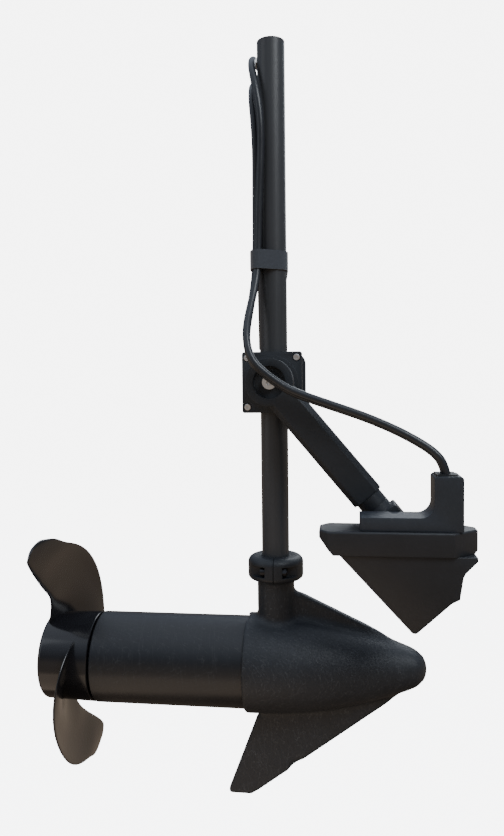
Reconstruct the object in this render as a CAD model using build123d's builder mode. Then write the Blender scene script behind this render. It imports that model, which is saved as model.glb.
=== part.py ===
"""Electric trolling motor, lower unit: shaft, motor pod, propeller and a clamped sonar transducer.

The origin is the centre of the shaft's cut top end. +Z is up along the shaft, +X points the way the
nose points, and -Y is the side that the sonar transducer hangs on. All sizes are in millimetres.
"""
import os
from math import atan2, cos, degrees, pi, radians, sin, sqrt, tan

from build123d import *

os.makedirs("parts", exist_ok=True)

# ---------------------------------------------------------------- fits and standard hardware
slip = 0.05                 # radial clearance of a running or sliding fit
gap = 0.3                   # clearance between faces that only pass each other
bearing_bore = 12.0
bearing_od = 28.0
bearing_width = 8.0
seal_width = 7.0

# ---------------------------------------------------------------- shaft
shaft_od = 28.6
shaft_wall = 2.8
axis_drop = 643.0           # from the shaft's top end down to the motor's axis
shaft_seat = 47.0           # height of the shaft's lower end above the motor's axis
socket_radius = 11.8        # the shaft's top end is bored out to take the head's spigot
shaft_socket_depth = 16.0

# ---------------------------------------------------------------- motor pod, along X
can_radius = 47.4
can_wall = 3.0
can_exposed = 144.7         # length of can between the nose casing and the rear end bell
nose_rear = -31.3
nose_tip = 155.3
nose_radius = 51.0
nose_wall = 6.5
ogive_start = -25.0
ogive_radius = 470.0
socket_depth = 11.5
neck_radius = 19.4
neck_top = 90.0             # shoulder under the clamp collar, above the motor's axis
fin_thickness = 10.0
skeg_thickness = 8.0
skeg_drop = 144.0           # from the motor's axis down to the skeg's foot
bell_length = 15.7
bolt_inset = 4.5            # from the can's bore in to the centres of the two long bolts
bolt_radius = 2.0
bolt_engagement = 9.0       # how far the long bolts screw into the nose casing's lugs
lug_length = 13.0
lug_radius = 5.0
seal_ring_section = 0.9     # radius of the O-rings' cord

# ---------------------------------------------------------------- electric motor
magnet_thickness = 6.0
magnet_overhang = 4.0       # how much longer than the core the magnets are
air_gap = 1.0
core_clearance = 26.0       # from the core's rear end to the can's rear end
core_front = -66.0
slot_count = 12
coil_overhang = 9.0
commutator_radius = 14.0
commutator_length = 13.0
holder_clearance = 6.1      # from the brush holders' outer ends to the can's bore
spring_room = 9.0           # left in a brush holder for the spring
carrier_front = -29.0
drive_shaft_rear = -247.0

# ---------------------------------------------------------------- propeller
hub_radius = 47.0
hub_rear_radius = 45.6
hub_length = 54.6
hub_wall = 4.0
hub_gap = 2.1               # running gap between the end bell and the hub
blade_count = 2
blade_thickness = 4.4
blade_root = 44.6           # blades start inside the hub's wall
blade_tip = 165.0

# ---------------------------------------------------------------- clamp collar on the neck
collar_radius = 29.0
collar_height = 24.6
collar_split = 0.6
sleeve_wall = 2.9           # neck sleeve that the collar squeezes on to the shaft
collar_screw_inset = 4.8    # from the sleeve's outside out to the collar screws' centres

# ---------------------------------------------------------------- transducer clamp on the shaft
clamp_rise = 296.8          # the clamp's centre, above the motor's axis
clamp_width = 61.0
clamp_height = 62.0
plate_thickness = 7.0
plate_front = -22.0
clamp_screw_spacing = 50.0
clamp_screw_radius = 2.0
liner_thickness = 1.5
saddle_width = 44.0
pivot_boss_radius = 27.0
pivot_boss_height = 6.0
pivot_bolt_radius = 4.0
washer_thickness = 1.0

# ---------------------------------------------------------------- transducer arm
arm_angle = 50.0            # below the horizontal
arm_width = 31.6
arm_depth = 22.0
arm_chamfer = 5.0
arm_length = 147.0
head_radius = 23.5
head_recess = 15.8
neck_tube_radius = 13.5
neck_tube_end = 159.0
knuckle_half_width = 17.0
knuckle_length = 24.0

# ---------------------------------------------------------------- transducer and its bracket
bracket_front = -96.0
bracket_rear = -62.0
bracket_left = 86.0
bracket_right = 177.0
bracket_bottom = 161.6      # heights here are above the motor's axis
bar_height = 12.4
post_width = 25.4
post_height = 49.6
inner_corner = 12.5
transducer_front = -100.0
transducer_rear = -56.0
transducer_left = 48.8
transducer_right = 191.6
flange_height = 22.0
shell_inset = 3.0

# ---------------------------------------------------------------- sonar leads
lead_radius = 3.75
lead_x = 163.0              # both leads leave the post's top here
lead_rest_gap = 4.0         # half the break in each lead's solid, where it crosses the pivot
coil_layers = 7
coil_inner = 39.0           # centre radius of the innermost turn
coil_lanes = 2
coil_centre_y = 104.0
coil_centre_rise = 421.0    # above the motor's axis
sight_slope = -0.0985       # the coils hang in a plane that drifts this far to -X per unit of +Y
coil_gap = 0.4              # between the two coils, which lie side by side
gland_rise = 1.2            # how far the gland stands out of the post's top
connector_radius = 7.0
connector_length = 36.0
connector_nut = 22.0
connector_drop = 17.0       # the connectors lie this far below the coils' centre
tie_width = 14.0
tie_thickness = 1.2
tie_clear = 0.4
strap_height = 19.0
strap_thickness = 1.2

# ---------------------------------------------------------------- derived places
shaft_radius = shaft_od / 2
axis_z = -axis_drop
clamp_z = axis_z + clamp_rise
can_rear = nose_rear - can_exposed
can_front = nose_rear + socket_depth
can_bore = can_radius - can_wall
bolt_circle = can_bore - bolt_inset
core_length = core_front - (can_rear + core_clearance)
magnet_length = core_length + magnet_overhang
bell_rear = can_rear - bell_length
hub_front = bell_rear - hub_gap
hub_rear = hub_front - hub_length
bore_radius = shaft_radius + slip
collar_screw_y = shaft_radius + sleeve_wall + collar_screw_inset
collar_bottom = axis_z + neck_top + 1.2
collar_top = collar_bottom + collar_height
coil_pitch = 2 * lead_radius
coil_outer = coil_inner + coil_pitch * (coil_layers - 1)
drive_radius = bearing_bore / 2
boss_front = plate_front - pivot_boss_height
arm_rear = boss_front - washer_thickness - gap
arm_front = arm_rear - arm_depth

motor_axis = Axis((0, 0, axis_z), (1, 0, 0))
motor_section = Plane(origin=(0, 0, axis_z), x_dir=(1, 0, 0), z_dir=(0, -1, 0))


def across_motor(x):
    """A plane square to the motor's axis at x, with its normal along +X and local y upwards."""
    return Plane(origin=(x, 0, axis_z), x_dir=(0, 1, 0), z_dir=(1, 0, 0))


def outline(plane, *points):
    """The face inside a closed polygon on a plane."""
    with BuildSketch(plane) as sketch:
        with BuildLine():
            Polyline(*points, close=True)
        make_face()
    return sketch.sketch


def front_view(y, z=axis_z):
    """A plane that faces -Y at depth y, with local x along +X and local y up from height z."""
    return Plane(origin=(0, y, z), x_dir=(1, 0, 0), z_dir=(0, -1, 0))


def finish(piece, name):
    """Label a finished piece and write it to its own STEP file."""
    piece.part.label = name
    export_step(piece.part, f"parts/{name}.step")


# ================================================================ shaft
with BuildPart() as shaft_tube:
    with BuildSketch(Plane.XY.offset(axis_z + shaft_seat)):
        Circle(shaft_radius)
        Circle(shaft_radius - shaft_wall, mode=Mode.SUBTRACT)
    extrude(amount=axis_drop - shaft_seat)
    with BuildSketch(Plane.XY):
        Circle(socket_radius)
    extrude(amount=-shaft_socket_depth, mode=Mode.SUBTRACT)
finish(shaft_tube, "shaft_tube")

# ================================================================ nose casing with neck, fin and skeg
tip_radius = (ogive_radius**2 - (ogive_radius - nose_radius)**2 - (nose_tip - ogive_start)**2)
tip_radius /= 2 * (ogive_radius - (nose_tip - ogive_start))
ogive_turn = degrees(atan2(nose_tip - ogive_start - tip_radius, ogive_radius - nose_radius))


def ogive(x):
    """The nose casing's outer radius at x."""
    return nose_radius - ogive_radius + sqrt(ogive_radius**2 - max(x - ogive_start, 0)**2)


cavity_radius = can_bore - 1.0
cavity_stations = [20.0, 85.0, 112.0]
sleeve_radius = bore_radius + sleeve_wall
seal_ring_front = nose_rear + 6.0
seal_ring_rear = can_rear + 4.0
groove_width = 2.4 * seal_ring_section
groove_depth = 2 * seal_ring_section + 0.1

with BuildPart() as nose_casing:
    with BuildSketch(motor_section):
        with BuildLine():
            edge = 3.0
            rim = Polyline((can_front, cavity_radius), (can_front, can_radius + slip),
                           (nose_rear, can_radius + slip), (nose_rear, nose_radius - edge))
            corner = RadiusArc(rim @ 1, (nose_rear + edge, nose_radius), edge)
            barrel = Line(corner @ 1, (ogive_start, nose_radius))
            side = JernArc(barrel @ 1, (1, 0), ogive_radius, -ogive_turn)
            tip = JernArc(side @ 1, side % 1, tip_radius, -(90 - ogive_turn))
            inner = [(x, ogive(x) - nose_wall) for x in reversed(cavity_stations)]
            Polyline(tip @ 1, (cavity_stations[-1], 0), *inner, rim @ 0)
        make_face()
    revolve(axis=motor_axis)
    with BuildSketch(Plane.XY.offset(axis_z + cavity_radius)):
        Circle(neck_radius)
    extrude(amount=neck_top - cavity_radius)
    fin_rise = 79.3             # height where the fin's top edge meets the neck
    fin_end = 128.0
    fin_foot = [(x, ogive(x) - nose_wall / 2) for x in (fin_end - 10, 85.0, 20.0)]
    fin = outline(motor_section, (0, fin_rise + 5), (neck_radius, fin_rise), (108.0, 37.3),
                  (fin_end, ogive(fin_end) - 0.5), *fin_foot, (0, nose_radius - nose_wall / 2))
    extrude(fin, amount=fin_thickness / 2, both=True)
    skeg_rear_top, skeg_rear_foot, skeg_front_foot, skeg_nose = -17.5, -54.4, -27.7, 138.0
    skeg_inside = [(x, nose_wall / 2 - ogive(x)) for x in (20.0, 85.0, skeg_nose - 12)]
    skeg = outline(motor_section, (skeg_rear_top, nose_wall / 2 - nose_radius),
                   (skeg_rear_foot, -skeg_drop), (skeg_front_foot, -skeg_drop),
                   (skeg_nose, 0.8 - ogive(skeg_nose)), *reversed(skeg_inside))
    extrude(skeg, amount=skeg_thickness / 2, both=True)
    skeg_edges = nose_casing.edges().filter_by(Axis.Y).group_by(Axis.Z)[0]
    fillet(skeg_edges, 3.0)
    # the collar's sleeve, then the bore for the shaft and the wire way below it
    with BuildSketch(Plane.XY.offset(axis_z + neck_top)):
        Circle(sleeve_radius)
    extrude(amount=collar_height - 3.0)
    with BuildSketch(Plane.XY.offset(axis_z + shaft_seat)):
        Circle(bore_radius)
    extrude(amount=neck_top + collar_height, mode=Mode.SUBTRACT)
    with BuildSketch(Plane.XY.offset(axis_z + cavity_radius - 3)):
        Circle(shaft_radius - shaft_wall - 1)
    extrude(amount=shaft_seat, mode=Mode.SUBTRACT)
    groove = outline(motor_section, (seal_ring_front - groove_width / 2, can_radius - 1),
                     (seal_ring_front + groove_width / 2, can_radius - 1),
                     (seal_ring_front + groove_width / 2, can_radius + slip + groove_depth),
                     (seal_ring_front - groove_width / 2, can_radius + slip + groove_depth))
    revolve(groove, axis=motor_axis, mode=Mode.SUBTRACT)
    # lugs inside the front of the can's socket take the ends of the long bolts
    with BuildSketch(across_motor(can_front)):
        with PolarLocations(bolt_circle - 0.5, 2, start_angle=90):
            Circle(lug_radius)
    extrude(amount=lug_length)
    with BuildSketch(across_motor(can_front)):
        with PolarLocations(bolt_circle, 2, start_angle=90):
            Circle(bolt_radius)
    extrude(amount=bolt_engagement + 1.0, mode=Mode.SUBTRACT)
finish(nose_casing, "nose_casing")

# ================================================================ can and its ends
with BuildPart() as motor_can:
    with BuildSketch(across_motor(can_rear)):
        Circle(can_radius)
        Circle(can_bore, mode=Mode.SUBTRACT)
    extrude(amount=can_front - can_rear)
finish(motor_can, "motor_can")

spigot_length = 10.0
bell_seat_end = bell_rear + seal_width + bearing_width
with BuildPart() as rear_end_bell:
    spigot = can_bore - slip
    revolve(outline(motor_section, (bell_rear, bearing_od / 2), (bell_seat_end, bearing_od / 2),
                    (bell_seat_end, drive_radius + 4.5), (bell_seat_end + 3, drive_radius + 4.5),
                    (bell_seat_end + 3, spigot - 10), (can_rear + spigot_length, spigot - 8),
                    (can_rear + spigot_length, spigot),
                    (seal_ring_rear + groove_width / 2, spigot),
                    (seal_ring_rear + groove_width / 2, spigot - groove_depth),
                    (seal_ring_rear - groove_width / 2, spigot - groove_depth),
                    (seal_ring_rear - groove_width / 2, spigot), (can_rear, spigot),
                    (can_rear, can_radius), (bell_rear + 1.5, can_radius),
                    (bell_rear, can_radius - 1.5)), axis=motor_axis)
    with BuildSketch(across_motor(bell_rear)):
        with PolarLocations(bolt_circle, 2, start_angle=90):
            Circle(bolt_radius + 0.2)
    extrude(amount=bell_length + spigot_length, mode=Mode.SUBTRACT)
    with BuildSketch(across_motor(bell_rear)):
        with PolarLocations(bolt_circle, 2, start_angle=90):
            Circle(bolt_radius + 2.2)
    extrude(amount=6.0, mode=Mode.SUBTRACT)
finish(rear_end_bell, "rear_end_bell")

with BuildPart() as case_seal_rings:
    front_ring = can_radius + slip + seal_ring_section
    rear_ring = can_bore - slip - groove_depth + seal_ring_section
    for x, radius in ((seal_ring_front, front_ring), (seal_ring_rear, rear_ring)):
        with BuildSketch(motor_section):
            with Locations((x, radius)):
                Circle(seal_ring_section - 0.02)
        revolve(axis=motor_axis)
finish(case_seal_rings, "case_seal_rings")

with BuildPart() as through_bolts:
    for side in (90, 270):
        with BuildSketch(across_motor(bell_rear + 6.0)):
            with PolarLocations(bolt_circle, 1, start_angle=side):
                Circle(bolt_radius - slip)
        extrude(amount=can_front + bolt_engagement - bell_rear - 6.0)
        with BuildSketch(across_motor(bell_rear + 1.0)):
            with PolarLocations(bolt_circle, 1, start_angle=side):
                Circle(bolt_radius + 2.0)
                RegularPolygon(2.3, 6, mode=Mode.SUBTRACT)
        extrude(amount=3.0)
        with BuildSketch(across_motor(bell_rear + 4.0)):
            with PolarLocations(bolt_circle, 1, start_angle=side):
                Circle(bolt_radius + 2.0)
        extrude(amount=2.0)
finish(through_bolts, "through_bolts")

# ================================================================ electric motor inside the can
with BuildPart() as field_magnets:
    magnet_front = core_front + (magnet_length - core_length) / 2
    with BuildSketch(across_motor(magnet_front - magnet_length)):
        Circle(can_bore - slip)
        Circle(can_bore - magnet_thickness, mode=Mode.SUBTRACT)
        Rectangle(14.0, 2 * can_radius, mode=Mode.SUBTRACT)
        Rectangle(2 * can_radius, 14.0, mode=Mode.SUBTRACT)
    extrude(amount=magnet_length)
finish(field_magnets, "field_magnets")

brush_y = commutator_radius + gap
holder_inner = brush_y + 2.0
holder_outer = can_bore - holder_clearance
brush_length = holder_outer - brush_y - spring_room
brush_x = core_front + coil_overhang + commutator_length / 2 + 1.0
with BuildPart() as front_end_plate:
    plate_rear = carrier_front - bearing_width
    lip, seat, rim_radius = drive_radius + 4.5, bearing_od / 2, bearing_od / 2 + 5
    plate_edge = can_bore - slip
    revolve(outline(motor_section, (plate_rear - 2, lip), (plate_rear - 2, rim_radius),
                    (plate_rear, rim_radius), (plate_rear, plate_edge),
                    (carrier_front - 2, plate_edge), (carrier_front - 2, rim_radius),
                    (carrier_front, rim_radius), (carrier_front, seat), (plate_rear, seat),
                    (plate_rear, lip)), axis=motor_axis)
    with BuildSketch(across_motor(plate_rear - 2)):
        with PolarLocations(bolt_circle, 2, start_angle=90):
            Circle(bolt_radius + 0.3)
    extrude(amount=12.0, mode=Mode.SUBTRACT)
finish(front_end_plate, "front_end_plate")

with BuildPart() as brush_holders:
    holder_front = plate_rear - 2
    holder_length = holder_front - (brush_x - 6.0)
    for side in (-1, 1):
        middle = side * (holder_inner + holder_outer) / 2
        with Locations((holder_front - holder_length / 2, middle, axis_z)):
            Box(holder_length, holder_outer - holder_inner, 14.0)
            Box(holder_length + 2, holder_outer - holder_inner + 2, 8.1, mode=Mode.SUBTRACT)
finish(brush_holders, "brush_holders")

with BuildPart() as carbon_brushes:
    for side in (-1, 1):
        with Locations((brush_x, side * (brush_y + brush_length / 2), axis_z)):
            Box(9.0, brush_length, 8.0)
    with BuildSketch(across_motor(brush_x - 6)):
        Circle(brush_y)
    extrude(amount=12, mode=Mode.SUBTRACT)
finish(carbon_brushes, "carbon_brushes")

with BuildPart() as brush_springs:
    for side in (-1, 1):
        spring_end = side * (brush_y + brush_length + gap)
        with BuildSketch(Plane(origin=(brush_x, spring_end, axis_z), z_dir=(0, side, 0))):
            Circle(3.2)
            Circle(2.4, mode=Mode.SUBTRACT)
        extrude(amount=6.0)
finish(brush_springs, "brush_springs")


def ring(x, length, outer, inner):
    """A plain ring round the motor's axis, from x forwards."""
    with BuildPart() as piece:
        with BuildSketch(across_motor(x)):
            Circle(outer)
            Circle(inner, mode=Mode.SUBTRACT)
        extrude(amount=length)
    return piece


front_bearing = ring(carrier_front - bearing_width, bearing_width, bearing_od / 2, drive_radius + slip)
finish(front_bearing, "front_bearing")
rear_bearing = ring(bell_rear + seal_width, bearing_width, bearing_od / 2, drive_radius + slip)
finish(rear_bearing, "rear_bearing")
shaft_seal = ring(bell_rear, seal_width, bearing_od / 2, drive_radius + gap)
finish(shaft_seal, "shaft_seal")

# ================================================================ controller and the wires up the shaft
with BuildPart() as control_board:
    with Locations((38.0, 0, axis_z - 6.0)):
        Box(56.0, 52.0, 1.6)
    for x, y, size in ((24.0, -12.0, 9.0), (24.0, 12.0, 9.0), (46.0, 0.0, 14.0)):
        with Locations((x, y, axis_z - 5.2 + size / 2)):
            Cylinder(size / 2, size)
    for y in (-16.0, 0.0, 16.0):
        with Locations((60.0, y, axis_z - 5.2 + 5)):
            Box(4.0, 9.0, 10.0)
finish(control_board, "control_board")

wire_radius = 4.5
with BuildPart() as power_cable:
    with BuildSketch(Plane.XY.offset(axis_z + 14.0)):
        Circle(wire_radius)
    extrude(amount=axis_drop - 14.0 - 46.0)
finish(power_cable, "power_cable")

with BuildPart() as power_plug:
    with BuildSketch(Plane.XY.offset(-46.0)):
        Circle(9.0)
    extrude(amount=30.0)
    with BuildSketch(Plane.XY.offset(-16.0)):
        with GridLocations(8.0, 0, 2, 1):
            Circle(2.4)
    extrude(amount=-12.0, mode=Mode.SUBTRACT)
    fillet(power_plug.edges().group_by(Axis.Z)[0], 1.5)
finish(power_plug, "power_plug")

# ================================================================ turning parts
core_rear = core_front - core_length
core_radius = can_bore - magnet_thickness - air_gap
slot_bottom = 18.0
slot_width = 6.0
pin_x = hub_front - 6.0
pin_radius = 2.4
with BuildPart() as drive_shaft:
    with BuildSketch(across_motor(drive_shaft_rear)):
        Circle(drive_radius)
    extrude(amount=carrier_front + 1.0 - drive_shaft_rear)
    with Locations((pin_x, 0, axis_z)):
        Cylinder(pin_radius, 3 * bearing_od, mode=Mode.SUBTRACT)
    chamfer(drive_shaft.edges().group_by(Axis.X)[0], 0.8)
finish(drive_shaft, "drive_shaft")

with BuildPart() as armature_core:
    with BuildSketch(across_motor(core_rear)):
        Circle(core_radius)
        Circle(drive_radius, mode=Mode.SUBTRACT)
        with PolarLocations((slot_bottom + core_radius - 3.0) / 2, slot_count):
            Rectangle(core_radius - 3.0 - slot_bottom, slot_width, mode=Mode.SUBTRACT)
        with PolarLocations(core_radius - 2.0, slot_count):
            Rectangle(6.0, 2.0, mode=Mode.SUBTRACT)
    extrude(amount=core_length)
finish(armature_core, "armature_core")

with BuildPart() as armature_windings:
    winding_depth = core_radius - 3.0 - slot_bottom
    with BuildSketch(across_motor(core_rear - coil_overhang)):
        with PolarLocations((slot_bottom + core_radius - 3.0) / 2, slot_count):
            Rectangle(winding_depth - 0.6, slot_width - 0.6)
    extrude(amount=core_length + 2 * coil_overhang)
    for x in (core_rear - coil_overhang, core_front + gap):
        with BuildSketch(across_motor(x)):
            Circle(core_radius - 3.5)
            Circle(slot_bottom - 2.0, mode=Mode.SUBTRACT)
        extrude(amount=coil_overhang - gap)
finish(armature_windings, "armature_windings")

with BuildPart() as commutator:
    with BuildSketch(across_motor(core_front + coil_overhang)):
        Circle(commutator_radius)
        Circle(drive_radius, mode=Mode.SUBTRACT)
        with PolarLocations(commutator_radius, slot_count):
            Rectangle(4.0, 0.7, mode=Mode.SUBTRACT)
    extrude(amount=commutator_length)
finish(commutator, "commutator")

with BuildPart() as drive_pin:
    with Locations((pin_x, 0, axis_z)):
        Cylinder(pin_radius, 24.0)
finish(drive_pin, "drive_pin")

nut_recess = 17.0
recess_depth = 12.4
hub_boss = 13.0
washer_height = 1.6

def blade_surface(turned):
    """The mid-surface of one blade, as rows of points from the hub out to the tip."""
    rows = []
    for radius, lead, trail, lead_x, trail_x in blade_stations:
        row = []
        for step in range(blade_columns):
            share = step / (blade_columns - 1)
            angle = radians(turned + lead + (trail - lead) * share)
            x = lead_x + (trail_x - lead_x) * share
            row.append((x, -radius * sin(angle), axis_z + radius * cos(angle)))
        rows.append(row)
    return rows


# radius, leading and trailing edge angles from the top (towards -Y), and the two edges' x
blade_columns = 7
blade_stations = [
    (blade_root, -132.0, 26.0, -208.5, -244.0),
    (64.0, -99.0, 26.0, -213.0, -238.0),
    (82.0, -69.0, 27.0, -216.5, -234.6),
    (105.0, -27.0, 32.0, -217.0, -234.0),
    (130.0, 8.0, 36.0, -219.5, -231.8),
    (150.0, 20.5, 38.0, -223.0, -229.6),
    (blade_tip, 29.5, 38.5, -228.0, -228.6),
]
with BuildPart() as propeller:
    recess_floor = hub_rear + recess_depth
    revolve(outline(motor_section, (hub_front, hub_radius - hub_wall), (hub_front, hub_radius),
                    (hub_rear + 4.5, hub_rear_radius), (hub_rear + 1.3, hub_rear_radius - 1.3),
                    (hub_rear, hub_rear_radius - 4.5), (hub_rear, nut_recess),
                    (recess_floor, nut_recess), (recess_floor, drive_radius),
                    (hub_front - 2, drive_radius), (hub_front - 2, hub_boss),
                    (recess_floor + 8, hub_boss), (recess_floor + 8, nut_recess + 4),
                    (hub_rear + 7, nut_recess + 4), (hub_rear + 7, hub_rear_radius - hub_wall)),
            axis=motor_axis)
    with Locations((pin_x + 3.0, 0, axis_z)):
        Box(12.0, 4.9, 25.0, mode=Mode.SUBTRACT)
    for blade in range(blade_count):
        middle = Face.make_surface_from_array_of_points(blade_surface(blade * 360 / blade_count))
        thicken(middle, amount=blade_thickness / 2, both=True)
finish(propeller, "propeller")

with BuildPart() as prop_washer:
    with BuildSketch(across_motor(recess_floor - washer_height)):
        Circle(hub_boss)
        Circle(drive_radius, mode=Mode.SUBTRACT)
    extrude(amount=washer_height)
finish(prop_washer, "prop_washer")

nut_height = 8.0
with BuildPart() as prop_nut:
    with BuildSketch(across_motor(recess_floor - washer_height - nut_height)):
        RegularPolygon(11.0, 6)
        Circle(drive_radius, mode=Mode.SUBTRACT)
    extrude(amount=nut_height)
finish(prop_nut, "prop_nut")

# ================================================================ clamp collar
pocket_inner, pocket_outer = 9.0, 26.0
collar_screw_radius = 2.5
collar_mid = collar_bottom + collar_height / 2 - 0.8


def collar_half(side):
    """One half of the collar: side is -1 for the half towards -X and 1 for the other."""
    with BuildPart() as half:
        with BuildSketch(Plane.XZ):
            with BuildLine():
                top, low = collar_top, collar_bottom
                bevel = 5.0
                first = Line((sleeve_radius + slip, low), (collar_radius - bevel, low))
                lower = RadiusArc(first @ 1, (collar_radius, low + bevel), -bevel)
                flank = Line(lower @ 1, (collar_radius, top - bevel - 2))
                upper = RadiusArc(flank @ 1, (collar_radius - bevel - 2, top), -(bevel + 2))
                Polyline(upper @ 1, (bore_radius, top), (bore_radius, top - 3),
                         (sleeve_radius + slip, top - 3), first @ 0)
            make_face()
        revolve(axis=Axis.Z)
        with Locations((-side * (collar_radius - collar_split / 2), 0, collar_mid)):
            Box(2 * collar_radius, 3 * collar_radius, 2 * collar_height, mode=Mode.SUBTRACT)
        for y in (-collar_screw_y, collar_screw_y):
            with Locations((side * (pocket_inner + pocket_outer) / 2, y * 1.12, collar_mid)):
                Box(pocket_outer - pocket_inner, 15.2, 11.0, mode=Mode.SUBTRACT)
            with Locations(Location((0, y, collar_mid), (0, 90, 0))):
                Cylinder(collar_screw_radius, 4 * pocket_inner, mode=Mode.SUBTRACT)
    return half


collar_left = collar_half(-1)
finish(collar_left, "collar_left")
collar_right = collar_half(1)
finish(collar_right, "collar_right")

with BuildPart() as collar_screws:
    for y in (-collar_screw_y, collar_screw_y):
        with Locations(Location((0, y, collar_mid), (0, 90, 0))):
            Cylinder(collar_screw_radius - slip, 2 * pocket_inner + 10.0)
        with Locations(Location((-pocket_inner - 2.5, y, collar_mid), (0, 90, 0))):
            Cylinder(4.2, 5.0)
        with BuildSketch(Plane(origin=(pocket_inner, y, collar_mid), x_dir=(0, 1, 0), z_dir=(1, 0, 0))):
            RegularPolygon(4.6, 6)
        extrude(amount=4.0)
finish(collar_screws, "collar_screws")

# ================================================================ transducer clamp on the shaft
liner_radius = shaft_radius + liner_thickness
saddle_face = -1.5          # the two halves stop this far from the shaft's centre plane
rear_plate_front = 8.0
plate_back = plate_front + plate_thickness
clamp_base = clamp_z - clamp_height / 2


def clamp_screw_sites(radius, plane):
    """The four clamp screws' circles on a plane square to Y."""
    with BuildSketch(plane) as sites:
        with GridLocations(clamp_screw_spacing, clamp_screw_spacing, 2, 2):
            Circle(radius)
    return sites.sketch


with BuildPart() as clamp_front:
    with BuildSketch(front_view(plate_front, clamp_z)):
        RectangleRounded(clamp_width, clamp_height, 2.5)
    extrude(amount=-plate_thickness)
    with BuildSketch(front_view(plate_back, clamp_z)):
        Rectangle(saddle_width, clamp_height)
    extrude(amount=plate_back - saddle_face)
    with BuildSketch(front_view(plate_front, clamp_z)):
        Circle(pivot_boss_radius)
    extrude(amount=pivot_boss_height)
    with BuildSketch(Plane.XY.offset(clamp_base)):
        Circle(liner_radius)
    extrude(amount=clamp_height, mode=Mode.SUBTRACT)
    extrude(clamp_screw_sites(clamp_screw_radius + 0.2, front_view(plate_front, clamp_z)),
            amount=-2 * plate_thickness, mode=Mode.SUBTRACT)
    extrude(clamp_screw_sites(clamp_screw_radius + 2.0, front_view(plate_front, clamp_z)),
            amount=-3.0, mode=Mode.SUBTRACT)
    with BuildSketch(front_view(boss_front, clamp_z)):
        Circle(pivot_bolt_radius)
    extrude(amount=boss_front + liner_radius, mode=Mode.SUBTRACT)
finish(clamp_front, "clamp_front")

with BuildPart() as clamp_rear:
    with BuildSketch(front_view(rear_plate_front, clamp_z)):
        RectangleRounded(clamp_width + 4, clamp_height, 12)
    extrude(amount=-plate_thickness)
    with BuildSketch(Plane.XY.offset(clamp_base)):
        Circle(saddle_width / 2)
        with Locations((0, -saddle_width / 2 - saddle_face)):
            Rectangle(2 * saddle_width, saddle_width, mode=Mode.SUBTRACT)
    extrude(amount=clamp_height)
    with BuildSketch(Plane.XY.offset(clamp_base)):
        Circle(liner_radius)
    extrude(amount=clamp_height, mode=Mode.SUBTRACT)
    extrude(clamp_screw_sites(clamp_screw_radius + 0.2, front_view(rear_plate_front, clamp_z)),
            amount=-plate_thickness, mode=Mode.SUBTRACT)
finish(clamp_rear, "clamp_rear")

with BuildPart() as clamp_liner:
    with BuildSketch(Plane.XY.offset(clamp_base + 1.0)):
        Circle(liner_radius)
        Circle(shaft_radius, mode=Mode.SUBTRACT)
    extrude(amount=clamp_height - 2.0)
finish(clamp_liner, "clamp_liner")

screw_head = 3.0
clamp_screw_end = rear_plate_front + plate_thickness + 5.0
with BuildPart() as clamp_screws:
    for x in (-clamp_screw_spacing / 2, clamp_screw_spacing / 2):
        for z in (-clamp_screw_spacing / 2, clamp_screw_spacing / 2):
            with BuildSketch(Plane(origin=(x, plate_front + screw_head, clamp_z + z), z_dir=(0, 1, 0))):
                Circle(clamp_screw_radius)
            extrude(amount=clamp_screw_end - plate_front - screw_head)
            with BuildSketch(Plane(origin=(x, plate_front - 0.6, clamp_z + z), z_dir=(0, 1, 0))):
                Circle(clamp_screw_radius + 1.5)
            extrude(amount=screw_head + 0.6)
            with BuildSketch(Plane(origin=(x, plate_front - 0.6, clamp_z + z), z_dir=(0, 1, 0))):
                RegularPolygon(1.7, 6)
            extrude(amount=2.0, mode=Mode.SUBTRACT)
finish(clamp_screws, "clamp_screws")

with BuildPart() as clamp_nuts:
    with BuildSketch(Plane(origin=(0, rear_plate_front + plate_thickness, clamp_z), z_dir=(0, 1, 0))):
        with GridLocations(clamp_screw_spacing, clamp_screw_spacing, 2, 2):
            RegularPolygon(4.0, 6)
            Circle(clamp_screw_radius, mode=Mode.SUBTRACT)
    extrude(amount=3.2)
finish(clamp_nuts, "clamp_nuts")

# ================================================================ pivot
recess_depth_arm = 9.0
recess_floor_y = arm_front + recess_depth_arm
bolt_head_height = 6.0
with BuildPart() as pivot_bolt:
    with BuildSketch(front_view(-liner_radius - 1.0, clamp_z)):
        Circle(pivot_bolt_radius)
    extrude(amount=-liner_radius - 1.0 - recess_floor_y + slip)
    with BuildSketch(front_view(recess_floor_y - slip, clamp_z)):
        Circle(pivot_bolt_radius + 3.0)
        RegularPolygon(3.4, 6, mode=Mode.SUBTRACT)
    extrude(amount=bolt_head_height)
    with BuildSketch(front_view(recess_floor_y - slip, clamp_z)):
        Circle(pivot_bolt_radius + 3.0)
    extrude(amount=2.0)
finish(pivot_bolt, "pivot_bolt")

with BuildPart() as friction_washer:
    with BuildSketch(front_view(boss_front, clamp_z)):
        Circle(pivot_boss_radius - 5.0)
        Circle(pivot_bolt_radius, mode=Mode.SUBTRACT)
    extrude(amount=washer_thickness)
finish(friction_washer, "friction_washer")

# ================================================================ arm
arm_dir = Vector(cos(radians(arm_angle)), 0, -sin(radians(arm_angle)))
arm_mid = (arm_front + arm_rear) / 2


def across_arm(distance, y=arm_mid):
    """A plane square to the arm, distance from the pivot, with local x along +Y."""
    origin = Vector(0, y, clamp_z) + arm_dir * distance
    return Plane(origin=origin, x_dir=(0, 1, 0), z_dir=arm_dir)


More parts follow.
